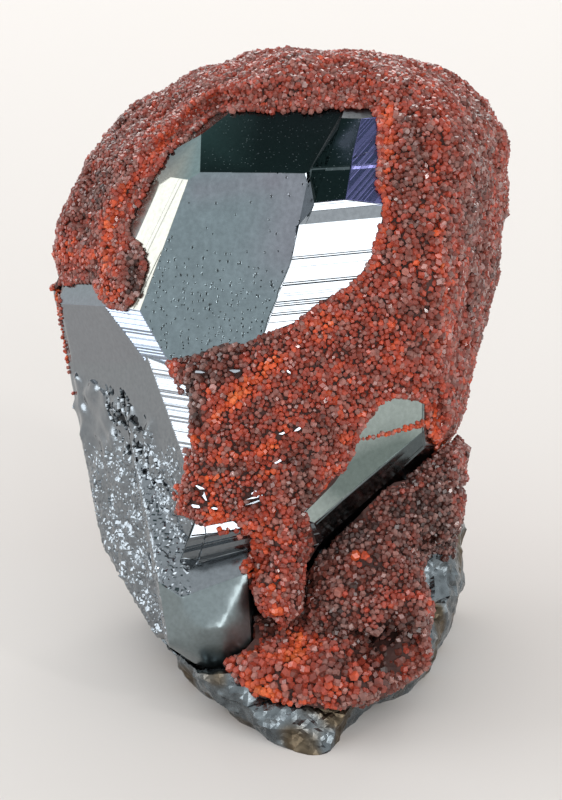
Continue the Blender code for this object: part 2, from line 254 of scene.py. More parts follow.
@dataclass
class Solid:
    """A CAD node's mesh as arrays, in the specimen frame, with its doubled vertices merged."""

    node: str
    vertices: Array = field(init=False)
    triangles: Array = field(init=False)

    def __post_init__(self) -> None:
        """Reads the node."""
        bm = self.as_bmesh()
        mesh = bpy.data.meshes.new("merged")
        bmesh.ops.triangulate(bm, faces=bm.faces)
        bm.to_mesh(mesh)
        bm.free()
        self.vertices = vertex_places(mesh)
        self.triangles = corner_vertices(mesh).reshape(-1, 3)
        bpy.data.meshes.remove(mesh)

    def as_bmesh(self) -> bmesh.types.BMesh:
        """A merged copy of the node as a bmesh in the specimen frame.

        Returns:
            The copy, which the caller frees.
        """
        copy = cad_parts[self.node].data.copy()
        places = SpecimenFrame.to_specimen(vertex_places(copy))
        copy.vertices.foreach_set("co", places.astype(np.float32).ravel())
        bm = bmesh.new()
        bm.from_mesh(copy)
        bpy.data.meshes.remove(copy)
        bmesh.ops.remove_doubles(bm, verts=bm.verts, dist=MERGED_WITHIN)
        return bm

    def refined(self, longest: float, rounds: int = 4) -> tuple[Array, Array, Array]:
        """Cuts the solid's long edges in halves.

        Args:
            longest: how long an edge may stay, in millimetres.
            rounds: how many times an edge may be halved.

        Returns:
            The vertices, their normals and the triangles.
        """
        bm = self.as_bmesh()
        for _ in range(rounds):
            long_edges = [e for e in bm.edges if e.calc_length() > longest]
            if long_edges:
                bmesh.ops.subdivide_edges(bm, edges=long_edges, cuts=1, use_grid_fill=False)
                bmesh.ops.triangulate(bm, faces=bm.faces)
        mesh = bpy.data.meshes.new("refined")
        bm.normal_update()
        bm.to_mesh(mesh)
        bm.free()
        places = vertex_places(mesh)
        triangles = corner_vertices(mesh).reshape(-1, 3)
        normals = np.empty(places.size, np.float32)
        mesh.vertices.foreach_get("normal", normals)
        bpy.data.meshes.remove(mesh)
        return places, normals.reshape(-1, 3).astype(float), triangles

    def corners(self) -> Array:
        """The triangles' corners: triangle, corner, coordinate."""
        return self.vertices[self.triangles]

    def tree(self) -> BVHTree:
        """A search tree of the solid's surface."""
        return BVHTree.FromPolygons(self.vertices.tolist(), self.triangles.tolist())


def triangle_normals(corners: Array) -> tuple[Array, Array]:
    """Unit normals and areas of triangles, from the cross product of two sides.

    Args:
        corners: triangle, corner, coordinate.

    Returns:
        Normals and areas.
    """
    cross = np.cross(corners[:, 1] - corners[:, 0], corners[:, 2] - corners[:, 0])
    length = np.linalg.norm(cross, axis=1)
    return cross / np.maximum(length, 1e-12)[:, None], length / 2.0


def new_object(name: str, mesh: bpy.types.Mesh, materials: list[bpy.types.Material]) -> bpy.types.Object:
    """Puts a mesh in the scene with its materials.

    Args:
        name: the object's name.
        mesh: its mesh.
        materials: the materials that the mesh gets.

    Returns:
        The object.
    """
    for material in materials:
        mesh.materials.append(material)
    obj = bpy.data.objects.new(name, mesh)
    bpy.context.scene.collection.objects.link(obj)
    return obj


def piece(obj: bpy.types.Object, slot: Slot, *nodes: str) -> bpy.types.Object:
    """Says what a finished piece rides on and which CAD nodes it stands for.

    Args:
        obj: the piece.
        slot: its material slot, which is not used.
        nodes: the CAD nodes that it stands for.

    Returns:
        The piece.
    """
    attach(obj, "root")
    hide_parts(*nodes)
    log.info("%s: %d polygons", obj.name, len(obj.data.polygons))
    return obj


def mesh_from_arrays(name: str, vertices: Array, faces: Array) -> bpy.types.Mesh:
    """A mesh of faces that all have the same number of corners.

    Args:
        name: the mesh's name.
        vertices: places in the specimen frame, one row each.
        faces: rows of vertex numbers.

    Returns:
        The mesh, in world metres.
    """
    corners = faces.shape[1]
    mesh = bpy.data.meshes.new(name)
    mesh.vertices.add(len(vertices))
    mesh.vertices.foreach_set("co", SpecimenFrame.to_world(vertices).astype(np.float32).ravel())
    mesh.loops.add(faces.size)
    mesh.loops.foreach_set("vertex_index", faces.astype(np.int32).ravel())
    mesh.polygons.add(len(faces))
    mesh.polygons.foreach_set("loop_start", np.arange(0, faces.size, corners, dtype=np.int32))
    mesh.polygons.foreach_set("use_smooth", np.zeros(len(faces), bool))
    mesh.update(calc_edges=True)
    mesh.validate()
    return mesh


def add_colours(mesh: bpy.types.Mesh, name: str, colours: Array) -> None:
    """Stores one colour for each vertex, as linear red, green and blue.

    Args:
        mesh: the mesh.
        name: the attribute's name.
        colours: one row for each vertex.
    """
    layer = mesh.attributes.new(name, "FLOAT_COLOR", "POINT")
    rgba = np.ones((len(colours), 4), np.float32)
    rgba[:, :3] = colours
    layer.data.foreach_set("color", rgba.ravel())


def add_values(mesh: bpy.types.Mesh, name: str, values: Array) -> None:
    """Stores one number for each vertex."""
    layer = mesh.attributes.new(name, "FLOAT", "POINT")
    layer.data.foreach_set("value", np.asarray(values, np.float32))


def add_node(tree: bpy.types.NodeTree, kind: str, links: dict | None = None, **settings) -> bpy.types.Node:
    """Adds a node with its settings and links.

    Args:
        tree: the node tree.
        kind: the node's type name.
        links: input name or number to a value, or to the output socket that feeds it.
        settings: the node's own properties.

    Returns:
        The node.
    """
    node = tree.nodes.new(kind)
    for key, value in settings.items():
        setattr(node, key, value)
    for key, value in (links or {}).items():
        if isinstance(value, bpy.types.NodeSocket):
            tree.links.new(value, node.inputs[key])
        else:
            node.inputs[key].default_value = value
    return node


def set_ramp(node: bpy.types.Node, stops: list[tuple[float, tuple[float, float, float]]]) -> None:
    """Gives a colour ramp its stops: position and linear colour.

    Args:
        node: the colour ramp.
        stops: the stops, in order.
    """
    elements = node.color_ramp.elements
    for position, _ in stops[2:]:
        elements.new(position)
    for element, (position, colour) in zip(elements, stops):
        element.position = position
        element.color = (*colour, 1.0)


def new_material(name: str) -> tuple[bpy.types.Material, bpy.types.NodeTree, bpy.types.Node]:
    """An empty material with its Principled shader.

    Args:
        name: the material's name.

    Returns:
        The material, its node tree and its shader.
    """
    material = bpy.data.materials.new(name)
    material.use_nodes = True
    tree = material.node_tree
    return material, tree, tree.nodes["Principled BSDF"]


@dataclass(frozen=True)
class HematiteFinish:
    """Specular hematite, Fe2O3: a steel-grey metallic lustre, as grown or broken."""

    name: str
    grain_mm: float
    bump_mm: float
    roughness_swing: float
    dust_mm: float = 0.3

    def build(self) -> bpy.types.Material:
        """Tint and roughness come from the mesh, and fine grain from noise.

        Returns:
            The material.
        """
        material, tree, shader = new_material(self.name)
        place = add_node(tree, "ShaderNodeTexCoord").outputs["Object"]
        tint = add_node(tree, "ShaderNodeAttribute", attribute_name="tint")
        polish = add_node(tree, "ShaderNodeAttribute", attribute_name="polish")
        grain = add_node(tree, "ShaderNodeTexNoise", {
            "Vector": place, "Scale": 1.0 / (self.grain_mm * MM), "Detail": 3.0,
        })
        cloud = add_node(tree, "ShaderNodeTexNoise", {
            "Vector": place, "Scale": 0.3 / (self.grain_mm * MM), "Detail": 2.0,
        })
        shade = add_node(tree, "ShaderNodeMapRange", {
            "Value": cloud.outputs["Fac"], "From Min": 0.3, "From Max": 0.7, "To Min": 0.9, "To Max": 1.08,
        })
        colour = add_node(tree, "ShaderNodeVectorMath", {
            0: tint.outputs["Color"], 1: shade.outputs["Result"],
        }, operation="MULTIPLY")
        swing = add_node(tree, "ShaderNodeMapRange", {
            "Value": grain.outputs["Fac"], "From Min": 0.3, "From Max": 0.7,
            "To Min": -self.roughness_swing, "To Max": self.roughness_swing,
        })
        dust = add_node(tree, "ShaderNodeTexVoronoi", {"Vector": place, "Scale": 1.0 / (self.dust_mm * MM)})
        speck = add_node(tree, "ShaderNodeMapRange", {
            "Value": dust.outputs["Distance"], "From Min": 0.12, "From Max": 0.2,
            "To Min": 0.45, "To Max": 0.0,
        })
        dusty = add_node(tree, "ShaderNodeAttribute", attribute_name="dust")
        uneven = add_node(tree, "ShaderNodeMath", {
            0: speck.outputs["Result"], 1: dusty.outputs["Fac"], 2: swing.outputs["Result"],
        }, operation="MULTIPLY_ADD")
        rough = add_node(tree, "ShaderNodeMath", {
            0: polish.outputs["Fac"], 1: uneven.outputs["Value"],
        }, operation="ADD", use_clamp=True)
        bump = add_node(tree, "ShaderNodeBump", {
            "Height": grain.outputs["Fac"], "Distance": self.bump_mm * MM, "Strength": 1.0,
        })
        tree.links.new(colour.outputs["Vector"], shader.inputs["Base Color"])
        tree.links.new(rough.outputs["Value"], shader.inputs["Roughness"])
        tree.links.new(bump.outputs["Normal"], shader.inputs["Normal"])
        shader.inputs["Metallic"].default_value = 1.0
        return material


@dataclass(frozen=True)
class GarnetFinish:
    """Andradite garnet: glassy small crystals of high index, coloured by iron and by depth."""

    name: str
    roughness: float
    index: float = 1.887
    gloss: float = 0.2

    def build(self) -> bpy.types.Material:
        """Each crystal's own tint, clouded a little inside.

        Returns:
            The material.
        """
        material, tree, shader = new_material(self.name)
        place = add_node(tree, "ShaderNodeTexCoord").outputs["Object"]
        tint = add_node(tree, "ShaderNodeAttribute", attribute_name="tint")
        cloud = add_node(tree, "ShaderNodeTexNoise", {"Vector": place, "Scale": 3.0 / MM, "Detail": 2.0})
        shade = add_node(tree, "ShaderNodeMapRange", {
            "Value": cloud.outputs["Fac"], "From Min": 0.25, "From Max": 0.75, "To Min": 0.65, "To Max": 1.35,
        })
        colour = add_node(tree, "ShaderNodeVectorMath", {
            0: tint.outputs["Color"], 1: shade.outputs["Result"],
        }, operation="MULTIPLY")
        tree.links.new(colour.outputs["Vector"], shader.inputs["Base Color"])
        shader.inputs["Roughness"].default_value = self.roughness
        shader.inputs["IOR"].default_value = self.index
        shader.inputs["Specular IOR Level"].default_value = self.gloss
        return material


@dataclass(frozen=True)
class GroundFinish:
    """The ground between the garnets: massive andradite, a dull dark brown that also serves as painted shade
    in the gaps.
    """

    name: str
    colour: str = "3a201b"
    roughness: float = 0.8

    def build(self) -> bpy.types.Material:
        """A dull brown that varies over a millimetre.

        Returns:
            The material.
        """
        material, tree, shader = new_material(self.name)
        place = add_node(tree, "ShaderNodeTexCoord").outputs["Object"]
        cloud = add_node(tree, "ShaderNodeTexNoise", {"Vector": place, "Scale": 1.0 / MM, "Detail": 3.0})
        ramp = add_node(tree, "ShaderNodeValToRGB", {"Fac": cloud.outputs["Fac"]})
        base = linear(self.colour)
        set_ramp(ramp, [(0.3, tuple(0.6 * c for c in base)), (0.7, tuple(1.5 * c for c in base))])
        tree.links.new(ramp.outputs["Color"], shader.inputs["Base Color"])
        shader.inputs["Roughness"].default_value = self.roughness
        return material


@dataclass(frozen=True)
class Streak:
    """A streak between two pixels of the photograph, along which a crust differs from the rest."""

    start: tuple[float, float]
    end: tuple[float, float]
    reach: float
    amount: float

    def at(self, pixels: Array) -> Array:
        """The amount at each pixel: full on the line between the ends, and fading over the reach.

        Args:
            pixels: across and down, one row each.

        Returns:
            One amount for each pixel.
        """
        first, along = np.array(self.start), np.subtract(self.end, self.start)
        share = np.clip((pixels - first) @ along / max(along @ along, 1e-9), 0.0, 1.0)
        distance = np.linalg.norm(pixels - first - share[:, None] * along, axis=1)
        return self.amount * np.exp(-(distance / self.reach) ** 2)


def streaks(*rows: tuple[float, ...]) -> tuple[Streak, ...]:
    """Streaks from rows of the start's two pixels, the end's two, the reach and the amount."""
    return tuple(Streak(row[0:2], row[2:4], *row[4:]) for row in rows)


def streaked(pixels: Array, along: tuple[Streak, ...]) -> Array:
    """The sum of the streaks' amounts at each pixel.

    Args:
        pixels: across and down, one row each.
        along: the streaks.

    Returns:
        One amount for each pixel.
    """
    if not along:
        return np.zeros(len(pixels))
    return np.sum([streak.at(pixels) for streak in along], axis=0)


@dataclass(frozen=True)
class GrowthLines:
    """Lines of growth over a face, at levels that are counted in millimetres.

    The lines lie in planes that hold the line of sight, so their slope is that in the photograph.
    """

    slope: float

    def across(self) -> Array:
        """The direction in which the levels are counted."""
        s = math.radians(self.slope)
        return np.array([-math.sin(s), 0.0, math.cos(s)])


@dataclass(frozen=True)
class Striae(GrowthLines):
    """Growth striae: narrow strips that lean one way, with steep returns between them."""

    widths: tuple[float, float]
    leans: tuple[float, float]
    seed: int
    rim: float = 0.08
    step_share: float = 0.12

    def profile(self, low: float, high: float) -> tuple[Array, Array]:
        """Levels and heights of the saw-tooth, from low to high.

        Args:
            low: first level.
            high: last level.

        Returns:
            Level and height of each line.
        """
        rng = np.random.default_rng(self.seed)
        levels, heights = [low], [0.0]
        while levels[-1] < high:
            width = rng.uniform(*self.widths)
            lean = math.radians(rng.uniform(*self.leans))
            levels += [levels[-1] + width * (1.0 - self.step_share), levels[-1] + width]
            heights += [-width * math.tan(lean), 0.0]
        return np.array(levels), np.array(heights)


@dataclass(frozen=True)
class Ledges(GrowthLines):
    """Growth ledges, given as lines of (level, height), straight between them.

    A groove is (level, width). It sinks as much as it is wide and comes up again at once.
    """

    lines: tuple[tuple[float, float], ...]
    grooves: tuple[tuple[float, float], ...] = ()
    rim: float = 0.06
    groove_return: float = 0.02

    def profile(self, low: float, high: float) -> tuple[Array, Array]:
        """Levels and heights of all lines and grooves, in order, whatever low and high are.

        Args:
            low: not needed here.
            high: not needed here.

        Returns:
            Level and height of each line.
        """
        lines = np.array(self.lines)
        rows = [lines]
        for level, width in self.grooves:
            height = np.interp(level, lines[:, 0], lines[:, 1])
            bottom = level + width
            end = bottom + self.groove_return
            rows.append(np.array([(level, height), (bottom, height - width), (end, height)]))
        rows = np.concatenate(rows)
        rows = rows[np.argsort(rows[:, 0], kind="stable")]
        return rows[:, 0], rows[:, 1]


@dataclass(frozen=True)
class Pits:
    """A satin face with small growth pits, denser lower down, faint swells and a mottled tint; the pits are
    darkened as painted shade.

    The levels between which the pits become denser are millimetres down, and a little to the left.
    """

    cell: float = 0.075
    spacing: float = 0.4
    depth: float = 0.05
    radius: float = 0.045
    dense_levels: tuple[float, float] = (-11.0, -6.0)
    dense_lean: float = 0.3
    share_above: float = 0.03
    share_gained: float = 0.6
    swell: float = 0.012
    mottle: float = 0.07
    broad_mottle: float = 0.05

    def height(self, across: Array, up: Array, points: Array) -> tuple[Array, Array]:
        """Each square of the spacing holds at most one pit, in a random place.

        Args:
            across: position along the face.
            up: position up the face.
            points: the same places in the specimen frame.

        Returns:
            Height of the relief, and how much the tint darkens: painted shade inside a pit, with the tint's
            own mottle added, from -0.2 to 1.
        """
        plane = np.stack([across, up], axis=1)
        flat = plane / self.spacing
        base = np.floor(flat).astype(np.int64)
        hollow = np.zeros(len(flat))
        low = smooth_step(-points[:, 2] - self.dense_lean * points[:, 0], *self.dense_levels)
        share = self.share_above + self.share_gained * low
        for shift in itertools.product((-1, 0, 1), repeat=2):
            square = base + np.array(shift)
            centre = square + random_pairs(square, 1)
            size = self.radius * (0.5 + random_of(square, 3)) / self.spacing
            stretch = np.array([1.0, 0.65 + 0.1 * shift[0]])
            distance = np.linalg.norm((flat - centre) * stretch, axis=1) / size
            there = random_of(square, 4) < share
            hollow = np.maximum(hollow, np.where(there, np.clip(1.6 - distance, 0.0, 1.0), 0.0))
        swell = self.swell * soft_noise(plane, 2.4, 5)
        mottle = self.mottle * soft_noise(plane * np.array([1.0, 0.35]), 0.28, 6)
        mottle += self.broad_mottle * soft_noise(plane, 0.9, 7)
        return swell - self.depth * hollow, np.clip(hollow + mottle, -0.2, 1.0)


# Where the smooth upper part of the etched side has angular pits, sunk and painted black as shade, and where
# it glints.
ETCHED_PITS = streaks(
    (103, 391, 128, 402, 8, 0.3), (106, 406, 130, 424, 9, 0.35), (126, 408, 149, 446, 6, 0.25),
    (118, 440, 150, 470, 10, 0.1), (150, 455, 168, 500, 9, 0.1),
)
ETCHED_GLINTS = streaks(
    (122, 414, 148, 446, 6, 0.3), (148, 450, 160, 486, 7, 0.35), (112, 458, 118, 470, 6, 0.4),
    (112, 520, 160, 600, 44, 0.15), (150, 600, 170, 640, 22, 0.1),
)


@dataclass(frozen=True)
class Etched:
    """A face dissolved in its lower part into small tilted crystal facets, with angular pits.

    The relief starts and is full at levels in millimetres down. It fades out towards the right,
    between the distances to the left of the middle that the fade gives.
    """

    cell: float = 0.15
    facet: float = 0.32
    lean: float = 0.26
    glint: tuple[float, float] = (-0.33, -0.4)
    pit_depth: float = 0.22
    start: float = 2.2
    full: float = 5.4
    fade: tuple[float, float] = (6.2, 7.6)
    pitted_before: float = 8.0
    level_swing: float = 0.09
    ripple: float = 0.012

    def height(self, across: Array, up: Array, points: Array) -> tuple[Array, Array]:
        """Cells round random centres, each a small plane that tilts its own way or to the light.

        Args:
            across: position along the face.
            up: position up the face.
            points: the same places in the specimen frame.

        Returns:
            Height of the relief, and the painted shade of each point inside an angular pit, from 0 to 1.
        """
        flat = np.stack([across, up], axis=1) / self.facet
        base = np.floor(flat).astype(np.int64)
        nearest = np.full(len(flat), 9.0)
        offset = np.zeros((len(flat), 2))
        owner = np.zeros((len(flat), 2), np.int64)
        for shift in itertools.product((-1, 0, 1), repeat=2):
            square = base + np.array(shift)
            away = flat - square - random_pairs(square, 11)
            distance = np.linalg.norm(away, axis=1)
            closer = distance < nearest
            nearest = np.where(closer, distance, nearest)
            offset = np.where(closer[:, None], away, offset)
            owner = np.where(closer[:, None], square, owner)
        pixels = SpecimenFrame.to_photo(points)
        seen = points[:, 1] < self.pitted_before
        amount = smooth_step(-points[:, 2] + soft_noise(points, 2.5, 16), self.start, self.full)
        amount *= smooth_step(-points[:, 0], *self.fade)
        pitted = random_of(owner, 20) < streaked(pixels, ETCHED_PITS) * seen
        glinting = random_of(owner, 21) < streaked(pixels, ETCHED_GLINTS)
        glinting &= ~pitted
        lean = (random_pairs(owner, 13) - 0.5) * 2.0 * self.lean * (0.4 + random_of(owner, 19))[:, None]
        strength = np.where(glinting, 1.0, amount)
        lean = np.where(glinting[:, None], np.array(self.glint) + 0.3 * lean, lean)
        levels = (random_of(owner, 15) - 0.5) * self.level_swing
        facets = np.sum(offset * lean, axis=1) * self.facet + levels
        ripple = self.ripple * soft_noise(points * np.array([1.0, 1.0, 0.4]), 1.8, 18)
        # A pitted cell sinks and gets a dark tint as painted shade.
        return ripple + strength * facets - self.pit_depth * pitted, pitted * 0.9


@dataclass(frozen=True)
class Veil:
    """A tarnish of another tint and roughness over part of a face, painted on squares of a size."""

    tint: str
    roughness: float
    cell: float
    streaks: tuple[Streak, ...]


@dataclass(frozen=True)
class Facet:
    """One crystal face: where it looks, its tint, its roughness and its relief. The tint is the tarnish
    colour and, on some faces, also a painted dark reflection.
    """

    name: str
    azimuth: float
    tilt: float
    tint: str
    roughness: float
    relief: tuple[Striae | Ledges | Pits | Etched, ...] = ()
    veil: Veil | None = None
    dust: float = 0.0


# Levels of the white front's ledges are millimetres up the face. A flat strip mirrors the light,
# and a groove mirrors the black card.
FRONT_LEDGES = Ledges(slope=5.5, lines=(
    (-14.0, 0.0), (-9.0, 0.0), (-8.9, -0.1), (-6.3, -0.1), (-6.2, 0.0), (-3.9, 0.0), (-3.8, -0.08),
    (-1.0, -0.08), (-0.9, 0.0), (12.2, 0.0), (12.26, -0.03), (13.1, -0.26), (13.14, -0.2), (14.75, -0.2),
), grooves=(
    (9.8, 0.07), (9.96, 0.05), (9.25, 0.02), (8.0, 0.09), (8.18, 0.06), (7.45, 0.02), (7.3, 0.02),
    (6.58, 0.07), (6.74, 0.05), (6.88, 0.07), (6.3, 0.02), (5.96, 0.07), (6.12, 0.05), (5.5, 0.03),
    (4.6, 0.03), (13.5, 0.02), (2.5, 0.05), (0.8, 0.05),
))

# A bright line across the right roof: a low step that mirrors the light in front.
ROOF_STEP = Ledges(slope=4.6, lines=(
    (10.0, 0.0), (15.96, 0.0), (16.0, -0.05), (16.14, 0.05), (16.3, 0.0), (30.0, 0.0)))

BROAD_VEIL = Veil("84848d", 0.24, 0.1, streaks(
    (300, 180, 290, 250, 34, 0.7), (200, 190, 270, 180, 14, 0.5)))
LOW_VEIL = Veil("74827f", 0.14, 0.25, streaks((345, 478, 402, 456, 24, 1.4)))
ROOF_VEIL = Veil("6f7484", 0.3, 0.25, streaks(
    (366, 110, 346, 142, 7, 0.9), (352, 138, 350, 158, 7, 0.6)))

# The tints are the faces' tarnish colours. On the two roofs, the ledge's end and the crown they are also a
# painted dark reflection: they are much darker than the rest, on top of the dark card that these faces
# mirror.
FACETS = (
    Facet("broad", -12, 6, "78858a", 0.22, (Pits(),), BROAD_VEIL),
    Facet("left_roof", -11, 44, "4a5557", 0.08, dust=1.0),
    Facet("corner", -38, 38, "76898a", 0.1),
    Facet("corner_edge", -50, 30, "5f686c", 0.12),
    Facet("teal", -60, 20, "6d8c88", 0.14),
    Facet("ivory", -42, 15, "8f8f88", 0.2, (Striae(64, (0.15, 0.6), (-1.0, 3.5), 21, 0.05),)),
    Facet("striated", 14, -2, "92979c", 0.1, (FRONT_LEDGES,)),
    Facet("front", 4, -2, "92979c", 0.1, (FRONT_LEDGES,)),
    Facet("left_bevel", -46, -14, "8d96a3", 0.12, (Striae(-9, (0.06, 0.18), (2.0, 30.0), 22),)),
    Facet("left_side", -62, -25, "7d8288", 0.18, (Etched(start=3.0, full=6.0),)),
    Facet("side", -62, -9, "7d8388", 0.18, (Etched(),)),
    Facet("side_back", -95, -11, "7a8085", 0.24, (Etched(cell=0.3),)),
    Facet("side_low", -88, -31, "7a8085", 0.24, (Etched(cell=0.3),)),
    Facet("side_end", -58, -52, "7a8085", 0.24, (Etched(cell=0.2),)),
    Facet("right_roof", 0, 36, "4a5557", 0.08, (ROOF_STEP,), ROOF_VEIL, 1.0),
    Facet("violet", 9, 34.5, "7676a8", 0.26, (Striae(50, (0.12, 0.4), (-4.0, 5.0), 24, 0.05), ROOF_STEP)),
    Facet("front_right", 28, -16, "a3b0ad", 0.14, (Striae(-68, (0.2, 0.7), (-1.5, 3.5), 25),), LOW_VEIL),
    Facet("edge_right", 40, -28, "5d6668", 0.16, (Striae(42, (0.3, 0.6), (-6.0, 6.0), 26),)),
    Facet("under_right", 73, -45, "6c7276", 0.2),
    Facet("under_front", 14, -45, "767c80", 0.15, (Striae(13, (0.1, 0.4), (-6.0, 18.0), 27),)),
    Facet("ledge", -16, 62, "7f868a", 0.15),
    Facet("bevel", -46, -1, "969ca3", 0.12, (Striae(-9, (0.06, 0.2), (-3.0, 14.0), 28),)),
    Facet("foot", 14, -48, "6c7276", 0.15, (Striae(12, (0.2, 0.6), (-4.0, 10.0), 29),)),
    Facet("left_foot", -40, -42, "6c7276", 0.18),
    Facet("far_left", -100, -4, "7a8085", 0.24, (Etched(cell=0.3),)),
    Facet("ledge_end", -90, 20, "4a5153", 0.1),
    Facet("small_roof", -12, 28, "7d8388", 0.18, (Etched(),)),
    Facet("crown", 2, 60, "2c3236", 0.3, dust=1.0),
)

# The small crystal's faces, as azimuth and tilt, and the number that they all get.
SMALL = -1
SMALL_FACES = (
    (-6, 14), (-34, -8), (38, -8), (0, -40), (-86, -10), (-50, -58), (-88, -55), (55, -52), (84, 2),
    (-4, -86),
)


@dataclass
class CutFaces:
    """Which facet each corner of the cut crystal's faces belongs to, and whether it is worked."""

    mesh: bpy.types.Mesh
    corners: Array = field(init=False)
    kind: Array = field(init=False)
    worked: Array = field(init=False)

    def __post_init__(self) -> None:
        """Reads the mesh."""
        totals = np.empty(len(self.mesh.polygons), np.int32)
        self.mesh.polygons.foreach_get("loop_total", totals)
        self.corners = corner_vertices(self.mesh)
        self.kind = np.repeat(self.of_faces("facet"), totals)
        self.worked = np.repeat(self.of_faces("worked"), totals) == 1

    def of_faces(self, name: str) -> Array:
        """The whole number that an attribute gives each face.

        Args:
            name: the attribute's name.

        Returns:
            One number for each face.
        """
        numbers = np.empty(len(self.mesh.polygons), np.int32)
        self.mesh.attributes[name].data.foreach_get("value", numbers)
        return numbers

    def touched(self, chosen: Array) -> Array:
        """Which vertices the chosen corners touch.

        Args:
            chosen: which of all corners.

        Returns:
            One truth value for each vertex.
        """
        found = np.zeros(len(self.mesh.vertices), bool)
        found[self.corners[chosen]] = True
        return found


@dataclass
class VertexLooks:
    """Tint, roughness and dust of each vertex."""

    tint: Array
    polish: Array
    dust: Array

    @classmethod
    def plain(cls, count: int, tint: str, roughness: float) -> "VertexLooks":
        """The same clean look for all vertices."""
        return cls(np.tile(linear(tint), (count, 1)), np.full(count, roughness), np.zeros(count))

    def dress(self, members: Array, facet: Facet, places: Array) -> None:
        """Gives a facet's vertices its look, and its veil over that.

        Args:
            members: which vertices are the facet's.
            facet: the facet.
            places: where all vertices are.
        """
        self.tint[members] = linear(facet.tint)
        self.polish[members] = facet.roughness
        self.dust[members] = facet.dust
        if facet.veil:
            pixels = SpecimenFrame.to_photo(places[members])
            amount = np.clip(streaked(pixels, facet.veil.streaks), 0.0, 1.0)
            self.tint[members] += amount[:, None] * (np.array(linear(facet.veil.tint)) - self.tint[members])
            self.polish[members] += amount * (facet.veil.roughness - self.polish[members])

    def store(self, mesh: bpy.types.Mesh) -> None:
        """Stores the looks in the mesh, for the finish to read.

        Args:
            mesh: the mesh.
        """
        add_colours(mesh, "tint", self.tint)
        add_values(mesh, "polish", self.polish)
        add_values(mesh, "dust", self.dust)


